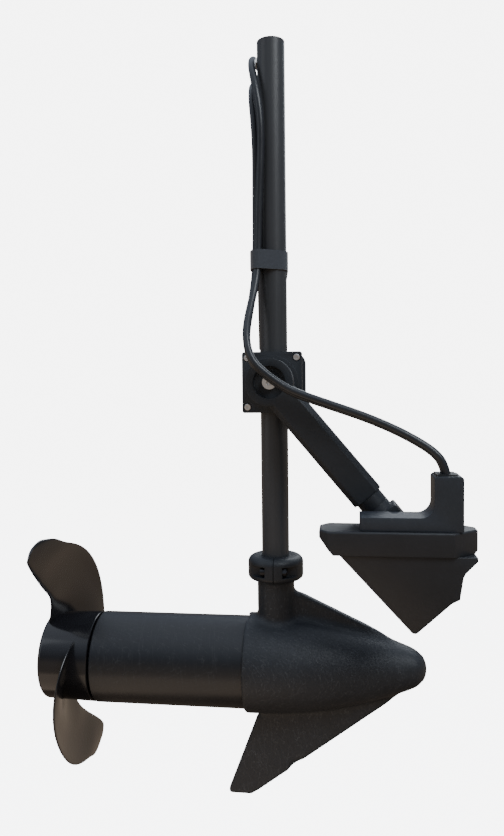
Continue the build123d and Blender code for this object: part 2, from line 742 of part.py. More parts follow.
with BuildPart() as mount_arm:
    with BuildSketch(front_view(arm_rear, clamp_z)):
        Circle(head_radius)
    extrude(amount=arm_depth)
    with BuildSketch(across_arm(0)):
        bar = Rectangle(arm_depth, arm_width)
        chamfer(bar.vertices(), arm_chamfer)
    extrude(amount=arm_length)
    with BuildSketch(front_view(arm_front, clamp_z)):
        Circle(head_recess)
    extrude(amount=-recess_depth_arm, mode=Mode.SUBTRACT)
    with BuildSketch(front_view(arm_front, clamp_z)):
        Circle(pivot_bolt_radius + slip)
    extrude(amount=-arm_depth, mode=Mode.SUBTRACT)
    with BuildSketch(across_arm(arm_length)):
        Circle(neck_tube_radius - 4.0)
    extrude(amount=-20.0, mode=Mode.SUBTRACT)
finish(mount_arm, "mount_arm")

with BuildPart() as arm_neck:
    with BuildSketch(across_arm(arm_length)):
        Circle(neck_tube_radius)
    extrude(amount=neck_tube_end - arm_length)
    with BuildSketch(across_arm(arm_length - 18.0)):
        Circle(neck_tube_radius - 4.0 - slip)
    extrude(amount=18.0)
finish(arm_neck, "arm_neck")

with BuildPart() as arm_knuckle:
    with BuildSketch(across_arm(neck_tube_end)):
        Circle(neck_tube_radius)
    extrude(amount=12.0)
    flange_depth = arm_rear - bracket_rear
    with BuildSketch(across_arm(neck_tube_end + 7.0, (arm_rear + bracket_rear) / 2)):
        Rectangle(flange_depth, 2 * knuckle_half_width)
    extrude(amount=knuckle_length)
    fillet(arm_knuckle.edges().filter_by(Axis.Y), 2.0)
    # where it reaches over the transducer's flange it stops level with the bracket's foot
    with Locations((0, bracket_rear, axis_z + bracket_bottom)):
        Box(4 * arm_length, 2 * (transducer_rear + gap - bracket_rear), 4 * knuckle_length,
            align=(Align.CENTER, Align.CENTER, Align.MAX), mode=Mode.SUBTRACT)
finish(arm_knuckle, "arm_knuckle")

# ================================================================ transducer bracket
bracket_z = axis_z + bracket_bottom
bar_top = bracket_bottom + bar_height
post_left = bracket_right - post_width
lead_sites = (-85.0, -73.5)
gland_pocket = 8.0
with BuildPart() as transducer_bracket:
    face = outline(front_view(bracket_rear), (bracket_left, bracket_bottom), (bracket_right, bracket_bottom),
                   (bracket_right, bracket_bottom + post_height), (post_left, bracket_bottom + post_height),
                   (post_left, bar_top), (bracket_left, bar_top))
    extrude(face, amount=bracket_rear - bracket_front)
    upright = transducer_bracket.edges().filter_by(Axis.Y)
    fillet(upright.filter_by_position(Axis.X, post_left - 1, post_left + 1).sort_by(Axis.Z)[0], inner_corner)
    upright = transducer_bracket.edges().filter_by(Axis.Y)
    fillet(upright.group_by(Axis.Z)[-1], 3.0)
    with Locations((lead_x, (bracket_front + bracket_rear) / 2, bracket_z + post_height - gland_pocket / 2)):
        Box(18.0, 26.0, gland_pocket, mode=Mode.SUBTRACT)
    for y in lead_sites:
        with Locations((lead_x, y, bracket_z + post_height / 2)):
            Cylinder(lead_radius + 0.3, post_height + 1, mode=Mode.SUBTRACT)
    with BuildSketch(front_view(bracket_rear)):
        with Locations((104.0, bracket_bottom + bar_height / 2), (122.0, bracket_bottom + bar_height / 2)):
            Circle(2.0)
    extrude(amount=12.0, mode=Mode.SUBTRACT)
finish(transducer_bracket, "transducer_bracket")

with BuildPart() as lead_gland:
    pocket_z = bracket_z + post_height - gland_pocket / 2 + 0.6
    with Locations((lead_x, (bracket_front + bracket_rear) / 2, pocket_z)):
        Box(18.0 - 0.1, 26.0 - 0.1, gland_pocket + 1.2)
finish(lead_gland, "lead_gland")

# ================================================================ transducer
flange_top = bracket_bottom
flange_bottom = flange_top - flange_height
body_mid = (transducer_front + transducer_rear) / 2
body_depth = transducer_rear - transducer_front
with BuildPart() as transducer_body:
    plan = [(transducer_left, -body_depth / 2 + 10), (transducer_left + 8, -body_depth / 2),
            (transducer_right - 23, -body_depth / 2), (transducer_right, -body_depth / 2 + 20),
            (transducer_right, body_depth / 2 - 12), (transducer_right - 12, body_depth / 2),
            (transducer_left + 8, body_depth / 2), (transducer_left, body_depth / 2 - 10)]
    plan_plane = Plane(origin=(0, body_mid, axis_z + flange_bottom), z_dir=(0, 0, 1))
    extrude(outline(plan_plane, *plan), amount=flange_height)
    left_cut = outline(front_view(transducer_rear + 1), (transducer_left - 1, flange_top - 6),
                       (transducer_left + 13.5, flange_bottom - 1), (transducer_left - 1, flange_bottom - 1))
    extrude(left_cut, amount=body_depth + 2, mode=Mode.SUBTRACT)
    right_cut = outline(front_view(transducer_rear + 1), (transducer_right + 1, flange_bottom + 4),
                        (transducer_right - 4, flange_bottom - 1), (transducer_right + 1, flange_bottom - 1))
    extrude(right_cut, amount=body_depth + 2, mode=Mode.SUBTRACT)
    # the electronics sit in a pocket that opens into the lower shell
    with Locations(((transducer_left + transducer_right) / 2 + 4, body_mid, axis_z + flange_bottom + 7)):
        Box(94.0, body_depth - 14, 14.0, mode=Mode.SUBTRACT)
    fillet(transducer_body.edges().group_by(Axis.Z)[-1], 2.0)
finish(transducer_body, "transducer_body")

shell_left, shell_right = 67.0, 189.0
shell_tip = (135.0, 63.5)
crease_left, crease_right = (80.9, 133.0), (162.0, 98.2)
shell_front = transducer_front + shell_inset
shell_rear = transducer_rear - shell_inset
shell_depth = shell_rear - shell_front
tip_depth = 14.0
with BuildPart() as transducer_shell:
    face = outline(front_view(shell_rear), (shell_left, flange_bottom), shell_tip, (166.0, 97.5),
                   (173.5, 101.5), (176.5, 121.0), (178.4, 125.1), (shell_right, 136.0),
                   (shell_right, flange_bottom))
    extrude(face, amount=shell_depth)
    fillet(transducer_shell.edges().filter_by(Axis.Y).sort_by(Axis.Z)[0], 4.0)
    # the lower facets lean in towards a narrow keel
    for side, wall_y in ((-1, shell_front), (1, shell_rear)):
        lean = (shell_depth - tip_depth) / 2
        first = Vector(crease_left[0] - 60, wall_y, axis_z + crease_left[1] + 25.8)
        second = Vector(crease_right[0] + 60, wall_y, axis_z + crease_right[1] - 25.8)
        keel = Vector(shell_tip[0], wall_y - side * lean, axis_z + shell_tip[1])
        normal = (second - first).cross(keel - first).normalized()
        if normal.Y * side < 0:
            normal = -normal
        cut_plane = Plane(origin=first, z_dir=normal)
        with BuildSketch(cut_plane):
            Rectangle(600, 600)
        extrude(amount=60, mode=Mode.SUBTRACT)
    with Locations(((transducer_left + transducer_right) / 2 + 4, body_mid, axis_z + flange_bottom - 12)):
        Box(60.0, shell_depth - 16, 24.0, mode=Mode.SUBTRACT)
finish(transducer_shell, "transducer_shell")

with BuildPart() as transducer_board:
    with Locations(((transducer_left + transducer_right) / 2 + 4, body_mid, axis_z + flange_bottom + 8.0)):
        Box(90.0, body_depth - 18, 1.6)
    for x in (-28.0, 0.0, 28.0):
        part_x = (transducer_left + transducer_right) / 2 + 4 + x
        with Locations((part_x, body_mid, axis_z + flange_bottom + 9.8)):
            Box(14.0, 14.0, 2.0)
finish(transducer_board, "transducer_board")

with BuildPart() as sonar_array:
    with Locations(((transducer_left + transducer_right) / 2 + 4, body_mid, axis_z + flange_bottom - 12)):
        with GridLocations(11.5, 0, 5, 1):
            Box(9.0, shell_depth - 17, 20.0)
finish(sonar_array, "sonar_array")

with BuildPart() as bracket_screws:
    for x in (104.0, 122.0):
        with BuildSketch(Plane(origin=(x, bracket_rear, bracket_z + bar_height / 2), z_dir=(0, -1, 0))):
            Circle(1.95)
        extrude(amount=11.0)
finish(bracket_screws, "bracket_screws")

# ================================================================ sonar leads
coil_slope = Vector(sight_slope, 1, 0).normalized()
coil_side = Vector(1, -sight_slope, 0).normalized()
coil_mid = Vector(sight_slope * coil_centre_y - 1.3, coil_centre_y, axis_z + coil_centre_rise)
lane_offset = coil_gap / 2 + lead_radius
gland_top = bracket_bottom + post_height + gland_rise


def above_axis(points):
    """Route points given with heights above the motor's axis, in the part's own frame."""
    return [Vector(x, y, axis_z + z) for x, y, z in points]


def lane_point(side, height):
    """Where a lead comes down to the front of its coil's outermost turn."""
    foot = coil_mid - coil_slope * coil_outer + coil_side * (side * lane_offset)
    return (foot.X, foot.Y, height)


def tube(name, points):
    """A lead's solid: straight runs joined by arcs as large as the runs allow."""
    radii = []
    for before, corner, after in zip(points, points[1:], points[2:]):
        turn = (corner - before).get_angle(after - corner)
        run = min((corner - before).length, (after - corner).length)
        radii.append(0.45 * run / tan(radians(turn) / 2))
    with BuildPart() as piece:
        with BuildLine() as path:
            FilletPolyline(*points, radius=radii)
        with BuildSketch(Plane(origin=points[0], z_dir=points[1] - points[0])):
            Circle(lead_radius)
        sweep(path=path.wires()[0])
    length = path.wires()[0].length
    expected = pi * lead_radius**2 * length
    print(f"{name}: {length:.0f} mm long, volume / (section x length) "
          f"{piece.part.volume / expected:.4f}, bend radii {[round(r) for r in radii]}")
    return piece


# each lead from its gland, over the arm's pivot, up the shaft and round behind it to its coil
front_lead_arm = [(lead_x, lead_sites[0], gland_top), (160.9, -84.7, 221.8), (154.2, -84.0, 230.8),
                  (142.3, -82.6, 239.6), (120.5, -80.0, 251.8), (92.0, -76.8, 264.2),
                  (64.0, -73.8, 274.0), (38.0, -71.4, 283.0), (17.0, -69.8, 291.4)]
front_lead_shaft = [(-10.0, -68.4, 311.8), (-17.6, -66.0, 325.5), (-20.8, -59.2, 341.5),
                    (-20.8, -49.0, 356.5), (-18.8, -38.0, 372.5), (-16.0, -27.6, 390.0),
                    (-13.7, -20.0, 410.0), (-13.0, -17.7, 440.0), (-11.6, -18.0, 485.0),
                    (-9.0, -18.6, 532.0), (-9.5, -19.6, 567.0), (-15.0, -16.5, 597.0),
                    (-20.0, -4.0, 621.5), (-20.5, 18.5, 637.0), (-16.0, 44.5, 637.5),
                    (-10.5, 68.0, 623.0), (-6.0, 80.5, 598.0), (-3.0, 79.5, 568.0),
                    (-1.5, 66.0, 541.0), (-0.5, 47.0, 518.0), (0.4, 31.0, 495.0),
                    lane_point(1, 470.0), lane_point(1, 449.0)]
rear_lead_arm = [(lead_x, lead_sites[1], gland_top), (160.6, -73.3, 221.6), (153.6, -72.8, 230.2),
                 (141.6, -71.8, 238.6), (120.0, -69.6, 250.4), (92.0, -66.8, 262.4),
                 (64.0, -64.2, 272.0), (38.0, -62.2, 280.8), (16.5, -60.9, 289.4)]
rear_lead_shaft = [(-10.6, -60.2, 309.8), (-18.0, -57.4, 322.4), (-21.8, -49.6, 336.5),
                   (-22.6, -38.0, 349.5), (-21.6, -27.0, 364.5), (-19.2, -18.6, 384.0),
                   (-16.8, -12.4, 407.0), (-15.9, -10.3, 438.0), (-15.7, -10.3, 485.0),
                   (-15.0, -12.0, 531.0), (-16.4, -12.4, 560.0), (-19.2, -7.0, 586.0),
                   (-20.6, 10.5, 606.0), (-18.6, 34.5, 613.6), (-15.4, 58.0, 605.2),
                   (-12.6, 72.0, 584.0), (-10.8, 71.5, 558.0), (-9.4, 59.5, 535.0),
                   (-8.3, 43.5, 515.0), (-7.5, 29.5, 495.0), lane_point(-1, 472.0),
                   lane_point(-1, 449.0)]


def split_at_pivot(arm_side, shaft_side):
    """End both halves of a lead a little short of the middle of the run that crosses the pivot."""
    start, end = arm_side[-1], shaft_side[0]
    middle = (start + end) * 0.5
    short = (end - start).normalized() * lead_rest_gap
    return arm_side + [middle - short], [middle + short] + shaft_side


front_arm_route, front_shaft_route = split_at_pivot(above_axis(front_lead_arm),
                                                    above_axis(front_lead_shaft))
rear_arm_route, rear_shaft_route = split_at_pivot(above_axis(rear_lead_arm),
                                                  above_axis(rear_lead_shaft))
for name, route in (("lead_front_arm_side", front_arm_route), ("lead_front_shaft_side", front_shaft_route),
                    ("lead_rear_arm_side", rear_arm_route), ("lead_rear_shaft_side", rear_shaft_route)):
    finish(tube(name, route), name)

coil_width = coil_lanes * coil_pitch
coil_half_stack = coil_gap / 2 + coil_width
for name, side in (("lead_front_coil", 1), ("lead_rear_coil", -1)):
    with BuildPart() as coil:
        slab_middle = coil_mid + coil_side * (side * (coil_gap + coil_width) / 2)
        with BuildSketch(Plane(origin=slab_middle, x_dir=(0, 0, 1), z_dir=coil_side)):
            Circle(coil_outer + lead_radius)
            Circle(coil_inner - lead_radius, mode=Mode.SUBTRACT)
        extrude(amount=coil_width / 2, both=True)
    finish(coil, name)

# each coil's free end carries a round locking connector, laid inside the coil's eye
for name, side in (("lead_front_connector", 1), ("lead_rear_connector", -1)):
    with BuildPart() as connector:
        tail = coil_mid + coil_side * (side * coil_half_stack / 2)
        tail = tail - Vector(0, 0, connector_drop) - coil_slope * (connector_length / 2)
        mouth = tail + coil_slope * connector_length
        with BuildSketch(Plane(origin=tail, x_dir=(0, 0, 1), z_dir=coil_slope)):
            Circle(connector_radius - 1.4)
        extrude(amount=connector_length)
        with BuildSketch(Plane(origin=mouth, x_dir=(0, 0, 1), z_dir=coil_slope)):
            Circle(connector_radius)
        extrude(amount=-connector_nut)
        with BuildSketch(Plane(origin=mouth, x_dir=(0, 0, 1), z_dir=coil_slope)):
            Circle(connector_radius - 2.4)
            with PolarLocations(2.4, 5):
                Circle(0.6, mode=Mode.SUBTRACT)
        extrude(amount=-9.0, mode=Mode.SUBTRACT)
    finish(connector, name)

# ================================================================ ties round the coils, and the strap
with BuildPart() as coil_ties:
    near_side = coil_inner - lead_radius - tie_clear - tie_width**2 / 8 / (coil_inner - lead_radius)
    far_side = coil_outer + lead_radius + tie_clear
    tie_inside = (far_side - near_side, 2 * (coil_half_stack + tie_clear))
    for angle in (0, 65, -65):
        outward = coil_slope * cos(radians(angle)) + Vector(0, 0, sin(radians(angle)))
        tie_plane = Plane(origin=coil_mid + outward * ((near_side + far_side) / 2), x_dir=outward,
                          z_dir=coil_side.cross(outward))
        with BuildSketch(tie_plane):
            RectangleRounded(tie_inside[0] + 2 * tie_thickness, tie_inside[1] + 2 * tie_thickness, 2.4)
            RectangleRounded(*tie_inside, 1.2, mode=Mode.SUBTRACT)
        extrude(amount=tie_width / 2, both=True)
finish(coil_ties, "coil_ties")

bound_leads = [(-13.8, -20.4), (-16.7, -12.2)]     # where the strap holds both leads to the shaft
strap_eye_side = coil_inner - lead_radius - strap_height**2 / 8 / (coil_inner - lead_radius)
strapped_corners = []
for distance in (coil_outer + lead_radius, strap_eye_side):
    for side in (-1, 1):
        corner = coil_mid - coil_slope * distance + coil_side * (side * coil_half_stack)
        strapped_corners.append((corner.X, corner.Y))


def wrapping(clearance):
    """The taut outline round the shaft, both leads and the coils' front, a clearance away."""
    with BuildSketch(Plane.XY.offset(coil_mid.Z)) as loop:
        Circle(shaft_radius + clearance)
        with Locations(*bound_leads):
            Circle(lead_radius + clearance)
        with Locations(*strapped_corners):
            Circle(clearance)
        make_hull()
    return loop.sketch


with BuildPart() as lead_strap:
    extrude(wrapping(tie_clear + strap_thickness), amount=strap_height / 2, both=True)
    extrude(wrapping(tie_clear), amount=strap_height / 2, both=True, mode=Mode.SUBTRACT)
finish(lead_strap, "lead_strap")
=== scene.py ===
"""Looks of an electric trolling motor's lower unit: its finishes, leads, casing, propeller and stage.

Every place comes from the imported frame. The leads' routes are lists of points in metres, with heights
above the motor's axis, and their coils are worked out turn by turn.
"""
import math

import bmesh
import bpy
import numpy as np
from mathutils import Matrix, Vector


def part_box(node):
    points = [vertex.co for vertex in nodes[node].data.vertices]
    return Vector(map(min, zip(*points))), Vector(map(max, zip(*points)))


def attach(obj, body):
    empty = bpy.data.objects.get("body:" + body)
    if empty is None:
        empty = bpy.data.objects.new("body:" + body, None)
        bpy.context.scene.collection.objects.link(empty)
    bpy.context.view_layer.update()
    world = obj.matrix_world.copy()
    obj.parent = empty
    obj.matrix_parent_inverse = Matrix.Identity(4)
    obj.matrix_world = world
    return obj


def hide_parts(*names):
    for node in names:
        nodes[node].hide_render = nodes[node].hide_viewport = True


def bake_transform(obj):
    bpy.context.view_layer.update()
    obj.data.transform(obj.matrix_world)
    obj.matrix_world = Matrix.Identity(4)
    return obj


bl_info = {
    "name": "Trolling motor lower unit",
    "version": (1, 0, 0),
    "blender": (4, 5, 0),
    "location": "3D View > Sidebar > Trolling motor",
    "description": "Finishes, sonar leads, casing, propeller and stage of a trolling motor's lower unit",
    "category": "Object",
}

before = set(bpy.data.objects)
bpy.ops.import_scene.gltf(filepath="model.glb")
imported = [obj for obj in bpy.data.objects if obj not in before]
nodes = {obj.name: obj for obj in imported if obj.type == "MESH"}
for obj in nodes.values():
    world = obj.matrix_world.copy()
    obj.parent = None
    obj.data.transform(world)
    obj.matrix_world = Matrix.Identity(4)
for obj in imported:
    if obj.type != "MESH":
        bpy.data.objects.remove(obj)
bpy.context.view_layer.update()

# ------------------------------------------------------------------ places that the frame gives
can_low, can_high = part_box("motor_can")
skeg_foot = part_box("nose_casing")[0].z
hub_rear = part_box("propeller")[0].x
bell_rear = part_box("rear_end_bell")[0].x

axis_z = (can_low.z + can_high.z) / 2


# ================================================================== shader maths
class Value:
    """A shader output that takes part in Python arithmetic."""

    def __init__(self, finish, socket):
        self.finish = finish
        self.socket = socket

    def combine(self, operation, first, second):
        node = self.finish.add("ShaderNodeMath", {"operation": operation}, {0: first, 1: second})
        return Value(self.finish, node.outputs[0])

    def __add__(self, other):
        return self.combine("ADD", self, other)

    def __radd__(self, other):
        return self.combine("ADD", other, self)

    def __sub__(self, other):
        return self.combine("SUBTRACT", self, other)

    def __rsub__(self, other):
        return self.combine("SUBTRACT", other, self)

    def __mul__(self, other):
        return self.combine("MULTIPLY", self, other)

    def __rmul__(self, other):
        return self.combine("MULTIPLY", other, self)


class Finish:
    """A procedural material, built one node at a time."""

    def __init__(self, name, settings):
        self.material = bpy.data.materials.new(name)
        self.material.use_nodes = True
        self.tree = self.material.node_tree
        self.tree.nodes.clear()
        self.shader = self.add("ShaderNodeBsdfPrincipled", {}, settings)
        self.add("ShaderNodeOutputMaterial", {}, {"Surface": self.shader.outputs["BSDF"]})
        self.place = self.add("ShaderNodeTexCoord", {}, {}).outputs["Object"]
        self.relief = None

    def add(self, kind, settings, sockets):
        """Add a node: its settings first, then the values or links of its sockets."""
        node = self.tree.nodes.new(kind)
        for name, value in settings.items():
            if name == "stops":
                self.set_stops(node.color_ramp, value)
            else:
                setattr(node, name, value)
        for name, value in sockets.items():
            self.join(node.inputs[name], value)
        return node

    def join(self, socket, value):
        value = getattr(value, "socket", value)
        if isinstance(value, bpy.types.NodeSocket):
            self.tree.links.new(value, socket)
        else:
            socket.default_value = value

    @staticmethod
    def set_stops(ramp, stops):
        for element, (position, grey) in zip(ramp.elements, stops):
            element.position = position
            element.color = (grey, grey, grey, 1)
        for position, grey in stops[2:]:
            ramp.elements.new(position).color = (grey, grey, grey, 1)

    def stretched(self, scale, turn=(0, 0, 0)):
        """Object coordinates turned about the origin, then scaled along each axis."""
        turned = self.add("ShaderNodeMapping", {}, {"Vector": self.place, "Rotation": turn})
        return self.add("ShaderNodeMapping", {}, {"Vector": turned.outputs[0], "Scale": scale}).outputs[0]

    def noise(self, scale, detail=2.0, roughness=0.5, vector=None):
        sockets = {"Vector": vector or self.place, "Scale": scale, "Detail": detail, "Roughness": roughness}
        return Value(self, self.add("ShaderNodeTexNoise", {}, sockets).outputs["Fac"])

    def specks(self, scale, size):
        """1 in small round specks, 0 between them."""
        cells = self.add("ShaderNodeTexVoronoi", {}, {"Vector": self.place, "Scale": scale})
        return self.ramp(Value(self, cells.outputs["Distance"]), [(0.0, 1.0), (size, 0.0)])

    def scratches(self, turn, scale, width):
        """1 along thin straight scratches at one slant, 0 between them."""
        lines = self.noise(1.0, 2.0, 0.6, self.stretched(scale, turn))
        return self.ramp(lines, [(0.5 - width, 0.0), (0.5, 1.0), (0.5 + width, 0.0)])

    def groove(self, across, offset, width):
        """1 along the line where the place's distance along a direction is offset, 0 beside it."""
        settings = {"operation": "DOT_PRODUCT"}
        along = self.add("ShaderNodeVectorMath", settings, {0: self.place, 1: across}).outputs["Value"]
        far = Value(self, along) - offset
        away = self.add("ShaderNodeMath", {"operation": "ABSOLUTE"}, {0: far}).outputs[0]
        return self.ramp(Value(self, away) * (1 / width), [(0.0, 1.0), (1.0, 0.0)])

    def ramp(self, value, stops):
        node = self.add("ShaderNodeValToRGB", {"stops": stops}, {"Fac": value})
        return Value(self, node.outputs["Color"])

    def blend(self, share, first, second):
        """The second colour laid over the first by share."""
        node = self.add("ShaderNodeMix", {"data_type": "RGBA"}, {0: share, 6: first, 7: second})
        return Value(self, node.outputs[2])

    def paint(self, colour):
        self.join(self.shader.inputs["Base Color"], colour)

    def gloss(self, roughness):
        self.join(self.shader.inputs["Roughness"], roughness)

    def raise_by(self, height, strength, distance):
        """Stack a bump on the surface's relief."""
        sockets = {"Height": height, "Strength": strength, "Distance": distance}
        if self.relief is not None:
            sockets["Normal"] = self.relief
        self.relief = self.add("ShaderNodeBump", {}, sockets).outputs[0]
        self.join(self.shader.inputs["Normal"], self.relief)


def shade(colour, times):
    """A colour made darker or lighter, with full alpha."""
    return tuple(min(channel * times, 1.0) for channel in colour[:3]) + (1.0,)


# ================================================================== settings a user may change
class FinishSettings(bpy.types.PropertyGroup):
    """Colours of the object's finishes."""

    shaft_colour: bpy.props.FloatVectorProperty(
        name="Shaft", description="Composite tube of the shaft", subtype="COLOR",
        default=(0.040, 0.043, 0.048))
    casing_colour: bpy.props.FloatVectorProperty(
        name="Casing", description="Moulded nose casing", subtype="COLOR", default=(0.016, 0.019, 0.024))
    can_colour: bpy.props.FloatVectorProperty(
        name="Motor can", description="Painted can and end bell", subtype="COLOR",
        default=(0.012, 0.013, 0.016))
    blade_colour: bpy.props.FloatVectorProperty(
        name="Propeller", description="Polished propeller", subtype="COLOR", default=(0.010, 0.010, 0.012))
    arm_colour: bpy.props.FloatVectorProperty(
        name="Arm", description="Transducer arm and clamp", subtype="COLOR", default=(0.024, 0.028, 0.034))
    bracket_colour: bpy.props.FloatVectorProperty(
        name="Bracket", description="Transducer bracket", subtype="COLOR", default=(0.026, 0.032, 0.041))
    sonar_colour: bpy.props.FloatVectorProperty(
        name="Transducer", description="Transducer housing", subtype="COLOR", default=(0.018, 0.020, 0.024))
    lead_colour: bpy.props.FloatVectorProperty(
        name="Leads", description="Jackets of the sonar leads", subtype="COLOR",
        default=(0.020, 0.023, 0.028))
    tape_colour: bpy.props.FloatVectorProperty(
        name="Band", description="Band and coil ties", subtype="COLOR", default=(0.050, 0.058, 0.072))
    steel_colour: bpy.props.FloatVectorProperty(
        name="Steel", description="Screws and other hardware", subtype="COLOR", default=(0.90, 0.90, 0.91))
    dust_colour: bpy.props.FloatVectorProperty(
        name="Dust", description="Dust and scuffs", subtype="COLOR", default=(0.20, 0.21, 0.22))
    dust: bpy.props.FloatProperty(
        name="Dust amount", description="How dusty the casing is", subtype="FACTOR", min=0, max=1,
        default=0.35)


class ShapeSettings(bpy.types.PropertyGroup):
    """Sizes of the shapes that are built here."""

    edge: bpy.props.FloatProperty(
        name="Edge", description="Rounding of moulded edges", unit="LENGTH", default=0.0006)
    casing_grain: bpy.props.FloatProperty(
        name="Casing grain", description="Mesh size of the casing", unit="LENGTH", default=0.0014)
    casing_fillet: bpy.props.FloatProperty(
        name="Casing fillet", description="Reach of the casing's inside fillets", unit="LENGTH",
        default=0.009)
    blade_root_thickness: bpy.props.FloatProperty(
        name="Blade root", description="Thickness at the hub", unit="LENGTH", default=0.0062)
    blade_tip_thickness: bpy.props.FloatProperty(
        name="Blade tip", description="Thickness near the tip", unit="LENGTH", default=0.0026)
    lead_diameter: bpy.props.FloatProperty(
        name="Lead", description="Diameter of a sonar lead", unit="LENGTH", default=0.0075)
    lead_length: bpy.props.FloatProperty(
        name="Lead length", description="Whole length of a sonar lead", unit="LENGTH", default=6.1)
    coil_turns: bpy.props.IntProperty(
        name="Coil turns", description="Turns in each lead's coil", subtype="UNSIGNED", default=14)
    screw_head: bpy.props.FloatProperty(
        name="Screw head", description="Radius of a clamp screw's head", unit="LENGTH", default=0.0035)


class StageSettings(bpy.types.PropertyGroup):
    """The stage round the object."""

    floor_drop: bpy.props.FloatProperty(
        name="Floor", description="Depth of the floor below the skeg", unit="LENGTH", default=0.9)
    key_power: bpy.props.FloatProperty(
        name="Key light", description="Soft light, upper right", unit="POWER", default=34.0)
    fill_power: bpy.props.FloatProperty(
        name="Fill light", description="Soft light, left", unit="POWER", default=5.0)
    rear_power: bpy.props.FloatProperty(
        name="Rear light", description="Soft light, behind", unit="POWER", default=14.0)
    warm_power: bpy.props.FloatProperty(
        name="Warm light", description="Warm bounce from below", unit="POWER", default=3.0)


# ================================================================== finishes
def shaft_finish(colours):
    """Satin composite tube with fine streaks along it."""
    finish = Finish("shaft_composite", {"Specular IOR Level": 0.5})
    streaks = finish.noise(1.0, 4.0, 0.6, finish.stretched((420, 420, 5)))
    cloud = finish.noise(9.0, 2.0)
    finish.paint(finish.blend(streaks * 0.7 + cloud * 0.3, shade(colours.shaft_colour, 0.7),
                              shade(colours.shaft_colour, 1.35)))
    finish.gloss(0.30 + streaks * 0.14 + cloud * 0.06)
    finish.raise_by(streaks, 0.22, 0.0004)
    return finish.material


def casing_finish(colours):
    """Finely textured moulding with dust in its grain and a few scuffs."""
    finish = Finish("textured_casing", {"Specular IOR Level": 0.45})
    grain = finish.noise(900.0, 3.0, 0.65)
    cloud = finish.noise(26.0, 5.0, 0.62)
    scuffs = finish.scratches((0.3, 0.9, 0.4), (60, 500, 60), 0.012)
    dust = finish.ramp(finish.noise(420.0, 4.0, 0.75), [(0.60, 0.0), (0.74, 1.0)])
    patch = finish.ramp(cloud, [(0.42, 0.0), (0.68, 1.0)])
    base = finish.blend(cloud, shade(colours.casing_colour, 0.75), shade(colours.casing_colour, 1.5))
    dusty = finish.blend(dust * patch * colours.dust, base, shade(colours.dust_colour, 1.0))
    specks = finish.specks(240.0, 0.10)
    finish.paint(finish.blend(scuffs * 0.15 + specks * patch * 0.8, dusty, shade(colours.dust_colour, 1.4)))
    finish.gloss(0.42 + cloud * 0.16 + dust * patch * 0.2)
    finish.raise_by(grain, 0.35, 0.0006)
    finish.raise_by(cloud, 0.10, 0.002)
    return finish.material


def can_finish(colours):
    """Satin black paint with fine scratches round and along it."""
    finish = Finish("satin_paint", {"Specular IOR Level": 0.5, "Coat Roughness": 0.2})
    rings = finish.scratches((0, 0.12, 0), (260, 14, 14), 0.010)
    slants = finish.scratches((0.5, 0.7, 0.2), (35, 620, 35), 0.008)
    cloud = finish.noise(18.0, 4.0, 0.6)
    marks = rings * 0.5 + slants * 0.7
    base = finish.blend(cloud, shade(colours.can_colour, 0.8), shade(colours.can_colour, 1.35))
    specks = finish.specks(150.0, 0.06)
    finish.paint(finish.blend(marks * 0.12 + specks * 0.5, base, shade(colours.dust_colour, 1.2)))
    finish.gloss(0.27 + cloud * 0.12 + marks * 0.18)
    seam = finish.groove((1, 0, 0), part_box("rear_end_bell")[1].x - 0.0001, 0.0005)
    finish.raise_by(finish.noise(500.0, 2.0), 0.06, 0.0005)
    finish.raise_by(marks + seam * 4, -0.10, 0.0003)
    return finish.material


def blade_finish(colours):
    """Polished moulding with handling marks."""
    finish = Finish("polished_blades", {"Specular IOR Level": 0.55})
    smears = finish.noise(30.0, 5.0, 0.6)
    marks = finish.scratches((0.9, 0.3, 0.6), (40, 700, 40), 0.006)
    finish.paint(finish.blend(smears, shade(colours.blade_colour, 0.8), shade(colours.blade_colour, 1.5)))
    finish.gloss(0.10 + smears * 0.14 + marks * 0.2)
    finish.raise_by(finish.noise(60.0, 2.0), 0.05, 0.001)
    return finish.material


def layered_finish(name, colour, pitch, slope):
    """Plastic laid down in fine layers that run across the arm."""
    finish = Finish(name, {"Specular IOR Level": 0.4})
    along = finish.stretched((1, 1, 1), (0, slope, 0))
    bands = finish.add("ShaderNodeTexWave", {"wave_type": "BANDS", "bands_direction": "X"},
                       {"Vector": along, "Scale": 0.3142 / pitch, "Distortion": 0.4, "Detail": 1.0})
    layers = Value(finish, bands.outputs["Fac"])
    cloud = finish.noise(40.0, 4.0, 0.6)
    finish.paint(finish.blend(cloud * 0.7 + layers * 0.3, shade(colour, 0.7), shade(colour, 1.4)))
    finish.gloss(0.44 + cloud * 0.16)
    finish.raise_by(layers, 0.25, 0.0003)
    finish.raise_by(finish.noise(700.0, 2.0), 0.12, 0.0005)
    return finish.material


def moulded_finish(name, colour, grain_size, roughness, crease=None):
    """Matt moulding with an even fine grain, a little cloudy."""
    finish = Finish(name, {"Specular IOR Level": 0.42})
    grain = finish.noise(1.6 / grain_size, 3.0, 0.6)
    cloud = finish.noise(22.0, 4.0, 0.6)
    scuffs = finish.scratches((0.2, 0.5, 1.1), (50, 560, 50), 0.008)
    base = finish.blend(cloud, shade(colour, 0.78), shade(colour, 1.32))
    finish.paint(finish.blend(scuffs * 0.18, base, shade(colour, 4.0)))
    finish.gloss(roughness + cloud * 0.14 + grain * 0.06)
    finish.raise_by(grain, 0.22, 0.0005)
    if crease is not None:
        finish.raise_by(finish.groove(*crease, 0.0009), -0.6, 0.0008)
    return finish.material


